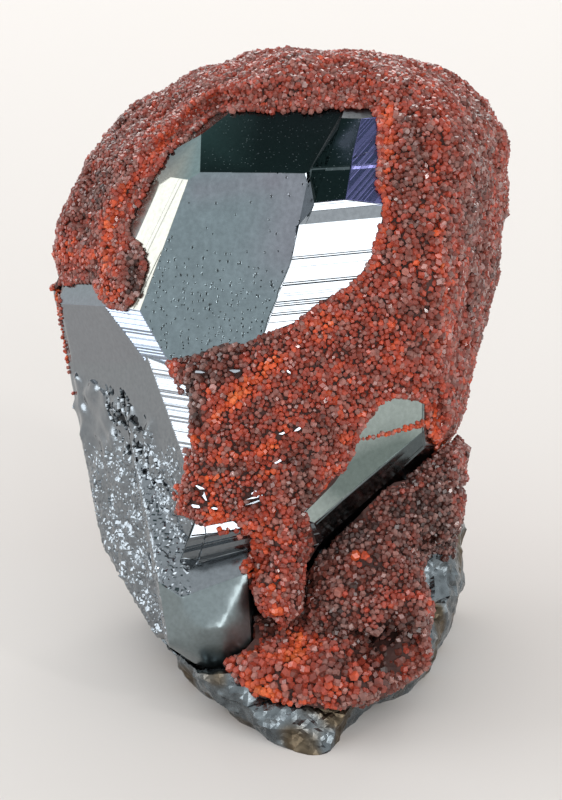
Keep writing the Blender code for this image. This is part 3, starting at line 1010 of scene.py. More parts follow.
@dataclass
class HematiteCrystal:
    """The leaning crystal with its small neighbour, cut fine and given its relief.

    The small box holds the small crystal: from left to right and from bottom to top. The slab is
    the etched side without flat facets: it is left of one place, below another, and looks more or
    less as the side does. The ledge is the straight end of the right growth, made uneven.
    """

    match: float = math.cos(math.radians(1.2))
    flat_angle: float = math.radians(0.4)
    small_box: tuple[float, float, float, float] = (-9.8, -2.0, -21.0, -12.0)
    small_cell: float = 0.45
    small_rounding: int = 10
    small_tint: str = "7b8587"
    small_roughness: float = 0.32
    slab_left: float = -6.5
    slab_top: float = 3.5
    slab_likeness: float = 0.45
    etched_rounding: int = 24
    # How much the tint darkens: painted shade in the pits, and the tint's own mottle.
    painted_pit_shade_and_mottle: float = 0.94
    plain_tint: str = "80868a"
    plain_roughness: float = 0.2
    ledge_tilt: float = math.radians(20.0)
    ledge_reach: float = 2.85
    ledge_fade: float = 2.4
    ledge_depth: float = 4.0
    ledge_within: float = 0.02
    ledge_faces: tuple[tuple[float, float, float], ...] = (
        (4, -2, 2.4), (-12, 6, 2.1), (14, -2, 1.0), (-11, 44, 11.55), (0, 36, 10.45))
    ledge_shifts: tuple[tuple[float, float], ...] = (
        (4.4, 0.12), (5.8, 0.0), (7.2, 0.1), (7.8, -0.02), (8.4, 0.08), (9.7, 0.14), (11.5, -0.06),
        (12.3, -0.3), (12.9, 0.0), (13.6, 0.34), (14.35, 0.22), (15.0, -0.15), (16.2, -0.95), (17.5, -0.6),
        (19.5, 0.0))

    def build(self, solid: Solid, material: bpy.types.Material) -> bpy.types.Object:
        """Cuts, displaces and dresses the crystal.

        Args:
            solid: the CAD node.
            material: the hematite finish.

        Returns:
            The finished piece.
        """
        bm = solid.as_bmesh()
        bmesh.ops.dissolve_limit(bm, angle_limit=self.flat_angle, verts=bm.verts, edges=bm.edges)
        kind = bm.faces.layers.int.new("facet")
        worked = bm.faces.layers.int.new("worked")
        self.name_faces(bm, kind)
        for number, facet in enumerate(FACETS, start=1):
            self.cut_facet(bm, facet, number, kind, worked)
        self.cut_small(bm, kind)
        return self.finish(bm, material)

    def name_faces(self, bm: bmesh.types.BMesh, kind: bmesh.types.BMLayerItem) -> None:
        """Numbers each face after the facet that it belongs to; the etched slab has no flat facet.

        Args:
            bm: the mesh.
            kind: the layer that gets the numbers.
        """
        directions = np.array([face_direction(f.azimuth, f.tilt) for f in FACETS])
        small = np.array([face_direction(*f) for f in SMALL_FACES])
        side = 1 + [f.name for f in FACETS].index("side")
        left, right, bottom, top = self.small_box
        for face in bm.faces:
            normal = np.array(face.normal)
            centre = face.calc_center_median()
            likeness = directions @ normal
            in_box = left < centre.x < right and bottom < centre.z < top
            in_slab = centre.x < self.slab_left and centre.z < self.slab_top
            if in_box and (small @ normal).max() > self.match:
                face[kind] = SMALL
            elif likeness.max() > self.match:
                face[kind] = 1 + int(likeness.argmax())
            elif in_slab and normal @ directions[side - 1] > self.slab_likeness:
                face[kind] = side

    def cut_facet(
        self, bm: bmesh.types.BMesh, facet: Facet, number: int,
        kind: bmesh.types.BMLayerItem, worked: bmesh.types.BMLayerItem,
    ) -> None:
        """Cuts a facet along its striae, and into small squares where its relief or tint needs them.

        Args:
            bm: the mesh.
            facet: the facet.
            number: the facet's number, from 1.
            kind: the layer that says which facet a face belongs to.
            worked: the layer that says whether a face takes part in the relief.
        """
        faces = [f for f in bm.faces if f[kind] == number]
        if not faces or not (facet.relief or facet.veil):
            return
        for face in faces:
            face[worked] = 1
        lined = [relief for relief in facet.relief if isinstance(relief, GrowthLines)]
        if lined:
            rims = bmesh.ops.inset_region(
                bm, faces=faces, thickness=lined[0].rim, use_even_offset=True, use_boundary=True)["faces"]
            for face in rims:
                face[worked] = 0
        for relief in lined:
            across = relief.across()
            low, high = self.reach(faces, across)
            levels, _ = relief.profile(math.floor(low), high)
            faces = self.slice_faces(bm, faces, across, np.unique(levels[(levels > low) & (levels < high)]))
        cells = [relief.cell for relief in facet.relief if relief not in lined]
        if facet.veil and not cells:
            cells.append(facet.veil.cell)
        for cell in cells:
            for direction in self.tangents(facet):
                low, high = self.reach(faces, direction)
                faces = self.slice_faces(bm, faces, direction, np.arange(low + cell / 2, high, cell))

    @staticmethod
    def reach(faces: list, direction: Array) -> tuple[float, float]:
        """How far the faces reach along a direction, from low to high."""
        values = [float(np.dot(direction, v.co)) for f in faces for v in f.verts]
        return min(values), max(values)

    def cut_small(self, bm: bmesh.types.BMesh, kind: bmesh.types.BMLayerItem) -> None:
        """Cuts the small crystal into squares, so that it can be rounded.

        Args:
            bm: the mesh.
            kind: the layer that says which facet a face belongs to.
        """
        for direction in np.eye(3):
            faces = [f for f in bm.faces if f[kind] == SMALL]
            low, high = self.reach(faces, direction)
            levels = np.arange(low + self.small_cell / 2, high, self.small_cell)
            self.slice_faces(bm, faces, direction, levels)

    @staticmethod
    def tangents(facet: Facet) -> tuple[Array, Array]:
        """Unit vectors along and up a facet.

        Args:
            facet: the facet.

        Returns:
            The vector along it and the one up it.
        """
        normal = face_direction(facet.azimuth, facet.tilt)
        along = np.cross(normal, (0.0, 0.0, 1.0))
        along /= -np.linalg.norm(along)
        return along, np.cross(normal, along)

    @staticmethod
    def slice_faces(
        bm: bmesh.types.BMesh, faces: list, direction: Array, levels: Array, apart: float = 1e-4,
    ) -> list:
        """Cuts faces by parallel planes.

        Args:
            bm: the mesh.
            faces: the faces to cut.
            direction: the planes' normal.
            levels: the planes' distances from the origin.
            apart: a corner that is nearer to a plane than this lies on it.

        Returns:
            The faces that the cuts leave.
        """
        normal = Vector(direction)
        for level in levels:
            crossed, others = [], []
            for face in faces:
                sides = [v.co.dot(normal) - level for v in face.verts]
                (crossed if min(sides) < -apart and max(sides) > apart else others).append(face)
            edges = list({e for f in crossed for e in f.edges})
            verts = list({v for f in crossed for v in f.verts})
            made = bmesh.ops.bisect_plane(
                bm, geom=crossed + edges + verts, dist=apart, plane_co=normal * float(level), plane_no=normal)
            faces = others + [g for g in made["geom"] if isinstance(g, bmesh.types.BMFace)]
        return faces

    def finish(self, bm: bmesh.types.BMesh, material: bpy.types.Material) -> bpy.types.Object:
        """Moves the vertices of every relief, and stores tint and roughness.

        Args:
            bm: the cut crystal, which is freed.
            material: the hematite finish.

        Returns:
            The finished piece.
        """
        mesh = bpy.data.meshes.new("crystal")
        bm.to_mesh(mesh)
        bm.free()
        cut = CutFaces(mesh)
        slab, share = self.etched_slab(cut)
        places = self.relaxed(mesh, vertex_places(mesh), slab, self.etched_rounding)
        looks = VertexLooks.plain(len(places), self.plain_tint, self.plain_roughness)
        moved = places.copy()
        for number, facet in enumerate(FACETS, start=1):
            looks.dress(cut.touched(cut.kind == number), facet, places)
            inner = cut.touched((cut.kind == number) & cut.worked)
            if inner.any():
                rim = cut.touched(cut.kind != number)[inner]
                self.relieve(facet, places[inner], inner, rim, share[inner], moved, looks.tint)
        moved += self.jagged(places)
        small = cut.touched(cut.kind == SMALL)
        within = small & ~cut.touched(cut.kind != SMALL)
        moved = self.relaxed(mesh, moved, within, self.small_rounding)
        looks.tint[small] = linear(self.small_tint)
        looks.polish[small] = self.small_roughness

        mesh.vertices.foreach_set("co", SpecimenFrame.to_world(moved).astype(np.float32).ravel())
        looks.store(mesh)
        mesh.polygons.foreach_set("use_smooth", cut.of_faces("facet") == SMALL)
        mesh.materials.clear()
        mesh.update()
        bm = bmesh.new()
        bm.from_mesh(mesh)
        bmesh.ops.triangulate(bm, faces=bm.faces)
        bm.to_mesh(mesh)
        bm.free()
        return new_object("hematite_crystal_faces", mesh, [material])

    @staticmethod
    def etched_slab(cut: CutFaces) -> tuple[Array, Array]:
        """The vertices inside the etched side.

        Args:
            cut: the cut crystal.

        Returns:
            Which vertices touch etched facets alone, and for each of them the share of the relief
            that each of its facets adds.
        """
        etched = [n for n, f in enumerate(FACETS, start=1) if any(isinstance(r, Etched) for r in f.relief)]
        touching = np.sum([cut.touched(cut.kind == number) for number in etched], axis=0)
        slab = (touching > 0) & ~cut.touched(~np.isin(cut.kind, etched))
        return slab, slab / np.maximum(touching, 1)

    def relieve(
        self, facet: Facet, points: Array, inner: Array, rim: Array, share: Array, moved: Array, tint: Array,
    ) -> None:
        """Raises a facet's relief, darkens its hollows as painted shade and mottles its tint.

        Args:
            facet: the facet.
            points: where its worked vertices are.
            inner: which of all vertices they are.
            rim: which of them also touch another facet.
            share: how much of an etched relief each gets.
            moved: the places of all vertices, which change.
            tint: the tint of all vertices, which changes.
        """
        normal = face_direction(facet.azimuth, facet.tilt)
        along, up = self.tangents(facet)
        for relief in facet.relief:
            if isinstance(relief, GrowthLines):
                values = points @ relief.across()
                levels, heights = relief.profile(math.floor(values.min()), values.max())
                moved[inner] += np.interp(values, levels, heights)[:, None] * normal
                continue
            height, hollow = relief.height(points @ along, points @ up, points)
            height *= share if isinstance(relief, Etched) else ~rim
            moved[inner] += height[:, None] * normal
            # Painted shade: the tint darkens inside the pits, and takes the mottle.
            tint[inner] *= (1.0 - self.painted_pit_shade_and_mottle * hollow)[:, None]

    def jagged(self, places: Array) -> Array:
        """How far each vertex moves sideways, in its own face, so that the ledge's end is uneven.

        Args:
            places: the vertices.

        Returns:
            Their moves. They fade with the distance from the straight end of the right growth.
        """
        x, y, z = places.T
        middle = (z * math.sin(self.ledge_tilt) - self.ledge_reach) / math.cos(self.ledge_tilt)
        sideways = np.interp(z, *np.array(self.ledge_shifts).T)
        fade = smooth_step(-np.abs(x - middle), -self.ledge_fade, 0.0) * (np.abs(y) < self.ledge_depth)
        moves = np.zeros_like(places)
        for azimuth, tilt, reach in self.ledge_faces:
            normal = face_direction(azimuth, tilt)
            on_face = np.abs(places @ normal - reach) < self.ledge_within
            moves[on_face, 0] = (sideways * fade)[on_face]
            moves[on_face, 1] = (-sideways * fade * normal[0] / normal[1])[on_face]
        return moves

    @staticmethod
    def relaxed(
        mesh: bpy.types.Mesh, places: Array, free: Array, rounds: int, pull: float = 0.6,
    ) -> Array:
        """Rounds a part of the mesh: each free vertex moves towards the mean of its neighbours.

        Args:
            mesh: the mesh, for its edges.
            places: where the vertices are.
            free: which of them may move.
            rounds: how many times.
            pull: the part of the way that a vertex moves each time.

        Returns:
            The new places.
        """
        count = len(places)
        ends = np.empty(len(mesh.edges) * 2, np.int32)
        mesh.edges.foreach_get("vertices", ends)
        a, b = ends.reshape(-1, 2).T
        degree = np.bincount(a, minlength=count) + np.bincount(b, minlength=count)
        result = places.copy()
        for _ in range(rounds):
            total = np.zeros_like(result)
            np.add.at(total, a, result[b])
            np.add.at(total, b, result[a])
            mean = total / np.maximum(degree, 1)[:, None]
            result[free] += pull * (mean[free] - result[free])
        return result


def dodecahedron() -> tuple[Array, Array]:
    """A rhombic dodecahedron, the garnet's own form, one unit from centre to face.

    Its 14 corners are the corners of a cube and the tips of the pyramids that stand on its sides.
    Each of its 12 rhombs joins two tips and the cube's edge between them.

    Returns:
        Corners, and rhombs as rows of four corner numbers that face out.
    """
    cube = np.array(list(itertools.product((-1.0, 1.0), repeat=3)))
    tips = np.concatenate([2.0 * np.eye(3), -2.0 * np.eye(3)])
    corners = np.concatenate([cube, tips])
    rhombs = []
    for first, second in itertools.combinations(range(8, 14), 2):
        direction = corners[first] + corners[second]
        if np.linalg.norm(direction) < 1.0:
            continue
        low, high = [i for i in range(8) if corners[i] @ direction > 3.9]
        ring = [first, low, second, high]
        turn = np.cross(corners[low] - corners[first], corners[second] - corners[first])
        rhombs.append(ring if turn @ direction > 0.0 else ring[::-1])
    return corners / math.sqrt(2.0), np.array(rhombs)


def random_turns(count: int, rng: np.random.Generator) -> Array:
    """Rotation matrices of random unit quaternions, evenly over all turns.

    Args:
        count: how many.
        rng: random numbers.

    Returns:
        One matrix for each turn.
    """
    q = rng.normal(size=(count, 4))
    w, x, y, z = (q / np.linalg.norm(q, axis=1)[:, None]).T
    rows = [
        [1 - 2 * (y * y + z * z), 2 * (x * y - z * w), 2 * (x * z + y * w)],
        [2 * (x * y + z * w), 1 - 2 * (x * x + z * z), 2 * (y * z - x * w)],
        [2 * (x * z - y * w), 2 * (y * z + x * w), 1 - 2 * (x * x + y * y)],
    ]
    return np.array(rows).transpose(2, 0, 1)


# Space is parted in cubes, and one number tells a cube: across, back and up in turn, from a far
# corner. These are how many cubes there may be one way, the corner, and the steps to the cubes near.
CUBES = 4096
FAR_CORNER = 1000
NEARBY = tuple((x * CUBES + y) * CUBES + z for x, y, z in itertools.product((-1, 0, 1), repeat=3))


@dataclass
class Crowd:
    """Points that each want no other nearer than their spacing, with the cube that each is in."""

    points: Array
    spacing: Array
    cube: Array = field(init=False)

    def __post_init__(self) -> None:
        """Finds the cubes, as wide as the widest spacing."""
        cells = np.floor(self.points / float(self.spacing.max())).astype(np.int64) + FAR_CORNER
        self.cube = (cells[:, 0] * CUBES + cells[:, 1]) * CUBES + cells[:, 2]

    def crowded(self, asking: Array, standing: Array, rank: Array | None = None) -> Array:
        """Which points are too near to a standing one.

        Args:
            asking: numbers of the points that ask.
            standing: numbers of the points that stand, at most one in a cube, in the cubes' order.
            rank: where given, only a standing point of a lower rank counts.

        Returns:
            One truth value for each point that asks.
        """
        cubes = self.cube[standing]
        found = np.zeros(len(asking), bool)
        for step in NEARBY:
            slot = np.minimum(np.searchsorted(cubes, self.cube[asking] + step), len(standing) - 1)
            other = standing[slot]
            near = np.linalg.norm(self.points[asking] - self.points[other], axis=1) < self.spacing[asking]
            near &= cubes[slot] == self.cube[asking] + step
            if rank is not None:
                near &= rank[other] < rank[asking]
            found |= near
        return found


def spread(points: Array, spacing: Array, rng: np.random.Generator, rounds: int = 14) -> Array:
    """Chooses points so that no two are nearer than their spacing.

    In each round one waiting point of each cube stands, those too near a standing neighbour of a
    lower rank step back, and what is too near the new ones is dropped.

    Args:
        points: the candidates.
        spacing: the least distance round each candidate.
        rng: random numbers.
        rounds: number of rounds.

    Returns:
        Numbers of the chosen points.
    """
    crowd = Crowd(points, spacing)
    waiting = rng.permutation(len(points))
    rank = np.empty(len(points), np.int64)
    rank[waiting] = np.arange(len(points))
    chosen = []
    for _ in range(rounds):
        if not len(waiting):
            break
        _, first = np.unique(crowd.cube[waiting], return_index=True)
        stand = waiting[first]
        stand = stand[~crowd.crowded(stand, stand, rank)]
        chosen.append(stand)
        waiting = waiting[~crowd.crowded(waiting, stand)]
    return np.concatenate(chosen)


# Warmth of the garnets' colour, from nearly black brown at 0 to bright orange at 1.
WARMTH_STOPS = (0.0, 0.25, 0.5, 0.75, 1.0)
WARMTH_COLOURS = ("3a2622", "6a362d", "923a2b", "b74a29", "cb683a")

# Where the crust is warmer or darker than its plain warmth. Most streaks are colour zones; the darker ones
# along creases and in the hollow under the crystal's overhang are painted shade.
CRUST_WARMTH_AND_SHADE = streaks(
    (56, 286, 69, 392, 6, 0.25), (380, 436, 428, 421, 4, 0.2), (125, 190, 110, 222, 9, 0.2),
    (108, 225, 110, 264, 9, 0.2), (66, 248, 86, 258, 12, 0.2), (98, 288, 116, 294, 9, 0.2),
    (90, 190, 130, 130, 18, -0.12), (134, 250, 134, 286, 8, -0.4), (129, 296, 118, 306, 6, -0.2),
    (100, 180, 88, 236, 13, -0.12), (98, 262, 92, 282, 4, -0.3), (140, 178, 172, 132, 7, 0.2),
    (186, 112, 216, 97, 8, 0.15), (240, 62, 360, 60, 16, 0.04), (386, 105, 389, 168, 8, 0.28),
    (385, 190, 380, 240, 8, 0.2), (432, 176, 441, 138, 7, 0.18), (437, 190, 447, 330, 5, 0.14),
    (412, 118, 418, 166, 11, -0.16), (470, 130, 478, 330, 18, -0.16), (372, 262, 352, 286, 8, 0.15),
    (195, 440, 235, 396, 8, 0.34), (235, 396, 275, 362, 9, 0.3), (275, 362, 332, 318, 10, 0.16),
    (214, 460, 276, 445, 6, 0.3), (302, 432, 292, 448, 5, 0.22), (205, 478, 292, 470, 6, 0.3),
    (206, 490, 214, 520, 10, 0.32), (222, 512, 246, 524, 8, 0.14), (172, 364, 174, 367, 5, 0.25),
    (203, 391, 212, 397, 6, 0.24), (186, 358, 240, 345, 10, -0.36), (194, 378, 226, 371, 9, -0.38),
    (191, 395, 200, 427, 7, -0.42), (214, 469, 250, 472, 3, -0.4), (285, 462, 302, 440, 8, -0.28),
    (300, 470, 312, 500, 12, -0.28), (322, 420, 336, 452, 9, -0.16), (345, 440, 325, 486, 7, 0.22),
    (350, 300, 320, 330, 14, 0.08), (390, 330, 394, 380, 14, 0.08), (262, 530, 250, 570, 12, 0.18),
    (256, 580, 276, 616, 12, 0.16), (430, 405, 437, 458, 7, 0.2), (296, 560, 302, 600, 10, -0.14),
)

# Creases in the crust, in millimetres.
CRUST_CREASES = streaks(
    (216, 469, 290, 460, 3, 0.3), (99, 258, 92, 282, 3, 0.25), (441, 140, 438, 217, 3, 0.3),
    (438, 217, 430, 292, 3, 0.3), (446, 194, 449, 208, 4, 0.4), (440, 226, 446, 241, 5, 0.4),
    (426, 292, 437, 284, 4, 0.4), (432, 172, 434, 184, 4, 0.35), (430, 320, 436, 350, 4, 0.3),
    (404, 250, 398, 300, 3, 0.25), (300, 440, 285, 470, 4, 0.3), (390, 212, 398, 226, 4, 0.3),
    (225, 440, 270, 432, 2.5, 0.12), (240, 410, 290, 396, 2.5, 0.1),
)

# Where the crust's garnets are coarser than elsewhere, or finer.
CRUST_COARSE = streaks(
    (56, 276, 69, 392, 6, -0.35), (346, 442, 428, 421, 4, -0.35), (132, 252, 126, 296, 8, 0.3),
    (200, 358, 240, 350, 12, 0.3), (200, 380, 196, 430, 10, 0.3), (410, 110, 400, 420, 46, 0.2),
    (330, 400, 280, 500, 40, 0.12), (250, 540, 272, 610, 22, 0.2), (470, 130, 470, 400, 30, 0.3),
)

# Single garnets and small groups on the bare hematite; the amount is how densely they stand.
CRUST_STRAYS = streaks(
    (56, 276, 69, 392, 2, 4.0), (65, 386, 70, 396, 3.5, 3.0), (346, 442, 370, 438, 1.4, 4.0),
    (369, 438, 400, 430, 1.2, 4.0), (400, 430, 427, 422, 2.0, 4.0), (176, 486, 184, 512, 4, 0.9),
    (186, 440, 190, 466, 3, 0.35), (170, 375, 186, 392, 4, 0.3), (214, 530, 246, 534, 3, 0.5),
)

# Thin bright edges of hematite between the garnets.
SLIVERS = streaks(
    (194, 371, 204, 373, 2.2, 1.0), (230, 370, 241, 372, 3.0, 1.0), (279, 434, 287, 432, 1.6, 1.0),
    (294, 431, 301, 428, 2.0, 1.0), (274, 463, 282, 460, 1.8, 1.0), (250, 494, 260, 490, 1.6, 1.0),
    (248, 499, 265, 495, 1.4, 1.0), (245, 505, 266, 499, 1.5, 1.0), (287, 370, 290, 373, 1.6, 1.0),
    (192, 505, 200, 508, 2.4, 1.0), (196, 486, 205, 490, 2.4, 1.0), (203, 492, 206, 502, 2.0, 1.0),
    (212, 508, 218, 509, 1.8, 1.0),
)

MOUND_WARMTH = streaks(
    (357, 559, 363, 559, 6, 0.9), (338, 593, 341, 594, 6, 0.5), (456, 446, 468, 480, 7, 0.3),
    (462, 498, 458, 512, 6, 0.25), (386, 598, 412, 604, 14, 0.28), (366, 612, 374, 620, 12, 0.2),
    (226, 668, 262, 700, 18, 0.34), (244, 655, 300, 652, 14, 0.46), (262, 690, 300, 705, 16, 0.4),
    (300, 668, 330, 690, 18, 0.28), (338, 690, 372, 664, 15, 0.28), (402, 668, 424, 648, 12, 0.26),
    (430, 500, 458, 560, 20, -0.12), (286, 630, 296, 634, 7, 0.4), (430, 600, 438, 620, 8, 0.3),
    (300, 640, 330, 646, 8, 0.4), (384, 540, 392, 560, 7, 0.18), (330, 520, 350, 512, 9, 0.12),
)

MOUND_CREASES = streaks(
    (284, 580, 300, 618, 8, 0.35), (374, 648, 398, 668, 8, 0.3), (340, 628, 370, 636, 5, 0.25),
    (300, 560, 330, 520, 4, 0.2),
)

MOUND_COARSE = streaks(
    (230, 670, 370, 676, 24, 0.45), (358, 559, 362, 559, 5, 1.0), (338, 593, 341, 594, 5, 0.8),
    (400, 640, 430, 600, 16, 0.3),
)


@dataclass
class Carrier:
    """What a crust grows on."""

    tree: BVHTree

    def away(self, points: Array) -> tuple[Array, Array]:
        """Unit vectors from the carrier's nearest surface to the points, and the distances.

        Args:
            points: places in the specimen frame.

        Returns:
            The vectors and the distances.
        """
        found = [self.tree.find_nearest(point) for point in points]
        distance = np.array([f[3] for f in found])
        return (points - np.array([f[0] for f in found])) / np.maximum(distance, 1e-9)[:, None], distance

    def behind(self, points: Array, farthest: float) -> Array:
        """How far behind each point the carrier lies, or nan where it is farther or missing.

        Args:
            points: places in the specimen frame.
            farthest: how far to look.

        Returns:
            One distance for each point.
        """
        back = Vector((0.0, 1.0, 0.0))
        found = [self.tree.ray_cast(Vector(point), back, farthest) for point in points]
        return np.array([np.nan if f[0] is None else f[3] for f in found])


@dataclass
class Druse:
    """The garnets of one crust: small crystals strewn over its solid, and a dark skin under them as painted
    shade in the gaps.

    Near the side of a window the garnets and the skin go down to the hematite. Only a side that
    runs straight back counts, before one place and below one pixel. Sizes are in millimetres.
    """

    node: str
    slot: Slot
    carriers: tuple[str, ...]
    spacing: float
    size: float
    warmth: float
    seed: int
    warm: tuple[Streak, ...]
    creases: tuple[Streak, ...]
    coarse: tuple[Streak, ...]
    strays: tuple[Streak, ...] = ()
    gaps: tuple[Streak, ...] = ()
    sink: float = 0.15
    edge_height: float = 0.13
    edge_width: float = 2.4
    edge_reach: float = 3.5
    edge_search: float = 6.3
    wall_straight: float = 0.002
    wall_least_area: float = 1e-4
    wall_before: float = 14.0
    wall_below: float = 98.0
    inner_gap: float = 0.5
    inner_likeness: float = -0.7
    bottom_m: float = 0.0002
    gap_share: float = 0.45
    skin_below: float = 0.13
    skin_edge: float = 0.03
    skin_rest: float = 0.32
    skin_cell: float = 0.9
    candidates_per_mm2: float = 80.0
    size_swing: float = 0.12
    back_coarser: float = 0.35
    stray_density: float = 0.12
    stray_spacing: float = 0.8
    depth_jitter: float = 0.05
    lump: float = 0.36
    small_lump: float = 0.24
    highest_lump: float = 0.06
    warmth_swing: float = 0.1
    warmth_spread: float = 0.09
    mauve: str = "85625b"
    mauve_share: float = 0.28
    mauve_below: float = 0.66
    mauve_mixed: float = 0.6
    brightness: tuple[float, float] = (0.78, 1.25)
    top_above: float = 0.75
    front_within: float = 40.0
    back_beyond: float = 125.0
    grain_swing: float = 0.17
    grain_limits: tuple[float, float] = (0.65, 1.5)

    def build(
        self, solids: dict[str, Solid], material: bpy.types.Material, ground: bpy.types.Material,
    ) -> list[bpy.types.Object]:
        """Strews, colours and joins the garnets.

        Args:
            solids: the CAD nodes.
            material: the garnet finish.
            ground: the finish of the skin under the garnets.

        Returns:
            The skin and the joined garnets, in pieces by the side that they lie on.
        """
        rng = np.random.default_rng(self.seed)
        solid = solids[self.node]
        carriers = [Carrier(solids[name].tree()) for name in self.carriers]
        wall = self.window_sides(solid)
        fine = solid.refined(self.skin_cell)
        places, normals = self.outer_points(fine, carriers, rng)
        points = self.seated(places, normals, carriers, wall, rng)
        if self.strays:
            alone, sights = self.stray_points(carriers[0], rng)
            points, normals = np.concatenate([points, alone]), np.concatenate([normals, sights])
        shown = streaked(SpecimenFrame.to_photo(points), self.gaps) < self.gap_share
        shown |= normals[:, 1] > TURNED_AWAY
        points, normals = points[shown], normals[shown]
        tints = self.tints(points, normals, rng)
        scales = self.grain_scale(points, normals)
        pieces = [self.skin(fine, carriers, wall, ground)]
        for name, members in self.sides(points, normals):
            pieces.append(self.garnets(name, points[members], tints[members], scales[members], material, rng))
        return pieces

    def window_sides(self, solid: Solid) -> BVHTree:
        """The sides of the windows on the front: the cut faces that run straight back.

        Args:
            solid: the crust.

        Returns:
            A search tree of those sides.
        """
        corners = solid.corners()
        normals, areas = triangle_normals(corners)
        middles = corners.mean(axis=1)
        sides = (np.abs(normals[:, 1]) < self.wall_straight) & (areas > self.wall_least_area)
        sides &= middles[:, 1] < self.wall_before
        sides &= SpecimenFrame.to_photo(middles)[:, 1] > self.wall_below
        if not sides.any():
            sides[0] = True
        return BVHTree.FromPolygons(solid.vertices.tolist(), solid.triangles[sides].tolist())

    def outer_points(
        self, fine: tuple[Array, Array, Array], carriers: list[Carrier], rng: np.random.Generator,
    ) -> tuple[Array, Array]:
        """Evenly strewn points on the crust, without the side that lies on the hematite.

        Args:
            fine: the crust's vertices, their normals and its small triangles.
            carriers: what carries it.
            rng: random numbers.

        Returns:
            Points and outward normals.
        """
        corners = fine[0][fine[2]]
        normals, areas = triangle_normals(corners)
        middles = corners.mean(axis=1)
        hidden = np.zeros(len(corners), bool)
        for carrier in carriers:
            away, distance = carrier.away(middles)
            hidden |= (distance < self.inner_gap) & (np.sum(away * normals, axis=1) < self.inner_likeness)
        hidden |= SpecimenFrame.to_world(middles)[:, 2] < self.bottom_m
        areas = np.where(hidden, 0.0, areas)
        count = int(areas.sum() * self.candidates_per_mm2)
        chosen = np.searchsorted(np.cumsum(areas), rng.random(count) * areas.sum())
        chosen = np.minimum(chosen, len(areas) - 1)
        u, v = rng.random((2, count))
        u, v = np.where(u + v > 1.0, 1.0 - u, u), np.where(u + v > 1.0, 1.0 - v, v)
        a, b, c = corners[chosen].transpose(1, 0, 2)
        points = a + (b - a) * u[:, None] + (c - a) * v[:, None]
        kept = spread(points, self.spacing * self.grain_scale(points, normals[chosen]), rng)
        return points[kept], normals[chosen[kept]]

    def grain_scale(self, points: Array, normals: Array) -> Array:
        """How much coarser than usual the garnets are at each point; those on the back are coarser.

        Args:
            points: places on the crust.
            normals: outward normals there.

        Returns:
            One factor for each point.
        """
        seen = normals[:, 1] < TURNED_AWAY
        scale = 1.0 + self.size_swing * soft_noise(points, 5.0, self.seed)
        scale += self.back_coarser * smooth_step(normals[:, 1], 0.3, 0.6)
        return scale + streaked(SpecimenFrame.to_photo(points), self.coarse) * seen

    def stray_points(self, carrier: Carrier, rng: np.random.Generator) -> tuple[Array, Array]:
        """Garnets that stand by themselves on the bare hematite.

        Args:
            carrier: the hematite.
            rng: random numbers.

        Returns:
            Their centres, and a direction to the front for each.
        """
        pixels = []
        for streak in self.strays:
            first, along = np.array(streak.start), np.subtract(streak.end, streak.start)
            area = (np.hypot(*along) + 2.0 * streak.reach) * 2.0 * streak.reach
            count = math.ceil(self.stray_density * area * streak.amount)
            on_line = first + along * rng.random((count, 1))
            pixels.append(on_line + rng.uniform(-streak.reach, streak.reach, (count, 2)))
        places, found = SpecimenFrame.on_photo(np.concatenate(pixels), carrier.tree)
        places = places[found]
        kept = spread(places, np.full(len(places), self.stray_spacing * self.spacing), rng)
        return places[kept], np.tile((0.0, -1.0, 0.0), (len(kept), 1))

    def seated(self, points: Array, normals: Array, carriers: list[Carrier], wall: BVHTree,
               rng: np.random.Generator) -> Array:
        """Sinks the garnets below the crust's surface, and thins the crust towards a window's edge.

        Args:
            points: places on the crust's surface.
            normals: outward normals there.
            carriers: what carries the crust.
            wall: the sides of the windows.
            rng: random numbers.

        Returns:
            The garnets' centres.
        """
        jitter = rng.uniform(-self.depth_jitter, self.depth_jitter, len(points))
        depth = self.depth_at(points, normals) + jitter
        return self.tapered(points - normals * depth[:, None], carriers, wall, self.edge_height)

    def depth_at(self, points: Array, normals: Array) -> Array:
        """How deep below the crust's surface the garnets' centres lie: deeper between the lumps.

        Args:
            points: places on the crust.
            normals: outward normals there.

        Returns:
            One depth for each point.
        """
        lumps = self.lump * soft_noise(points, 2.1, self.seed + 1)
        lumps += self.small_lump * soft_noise(points, 1.0, self.seed + 2)
        creased = streaked(SpecimenFrame.to_photo(points), self.creases) * (normals[:, 1] < TURNED_AWAY)
        return self.sink - np.minimum(lumps, self.highest_lump) + creased

    def tapered(self, points: Array, carriers: list[Carrier], wall: BVHTree, edge_height: float) -> Array:
        """Lowers points near a window's side straight back to the hematite, so that the outline stays.

        Args:
            points: places in or on the crust.
            carriers: what carries the crust.
            wall: the sides of the windows.
            edge_height: the share of the height that is left at the side itself.

        Returns:
            The lowered places.
        """
        from_wall = np.array([wall.find_nearest(p)[3] for p in points])
        share = edge_height + (1.0 - edge_height) * smooth_step(from_wall, 0.0, self.edge_width)
        for carrier in carriers:
            away, distance = carrier.away(points)
            steps = -away * distance[:, None]
            lowered = np.flatnonzero((distance < self.edge_reach) & (share < 0.999))
            drops = carrier.behind(points[lowered], self.edge_search)
            straight = np.isfinite(drops)
            steps[lowered[straight]] = np.stack([
                np.zeros(straight.sum()), drops[straight], np.zeros(straight.sum())], axis=1)
            moves = np.zeros_like(points)
            moves[lowered] = steps[lowered] * (1.0 - share[lowered])[:, None]
            points = points + moves
        return points

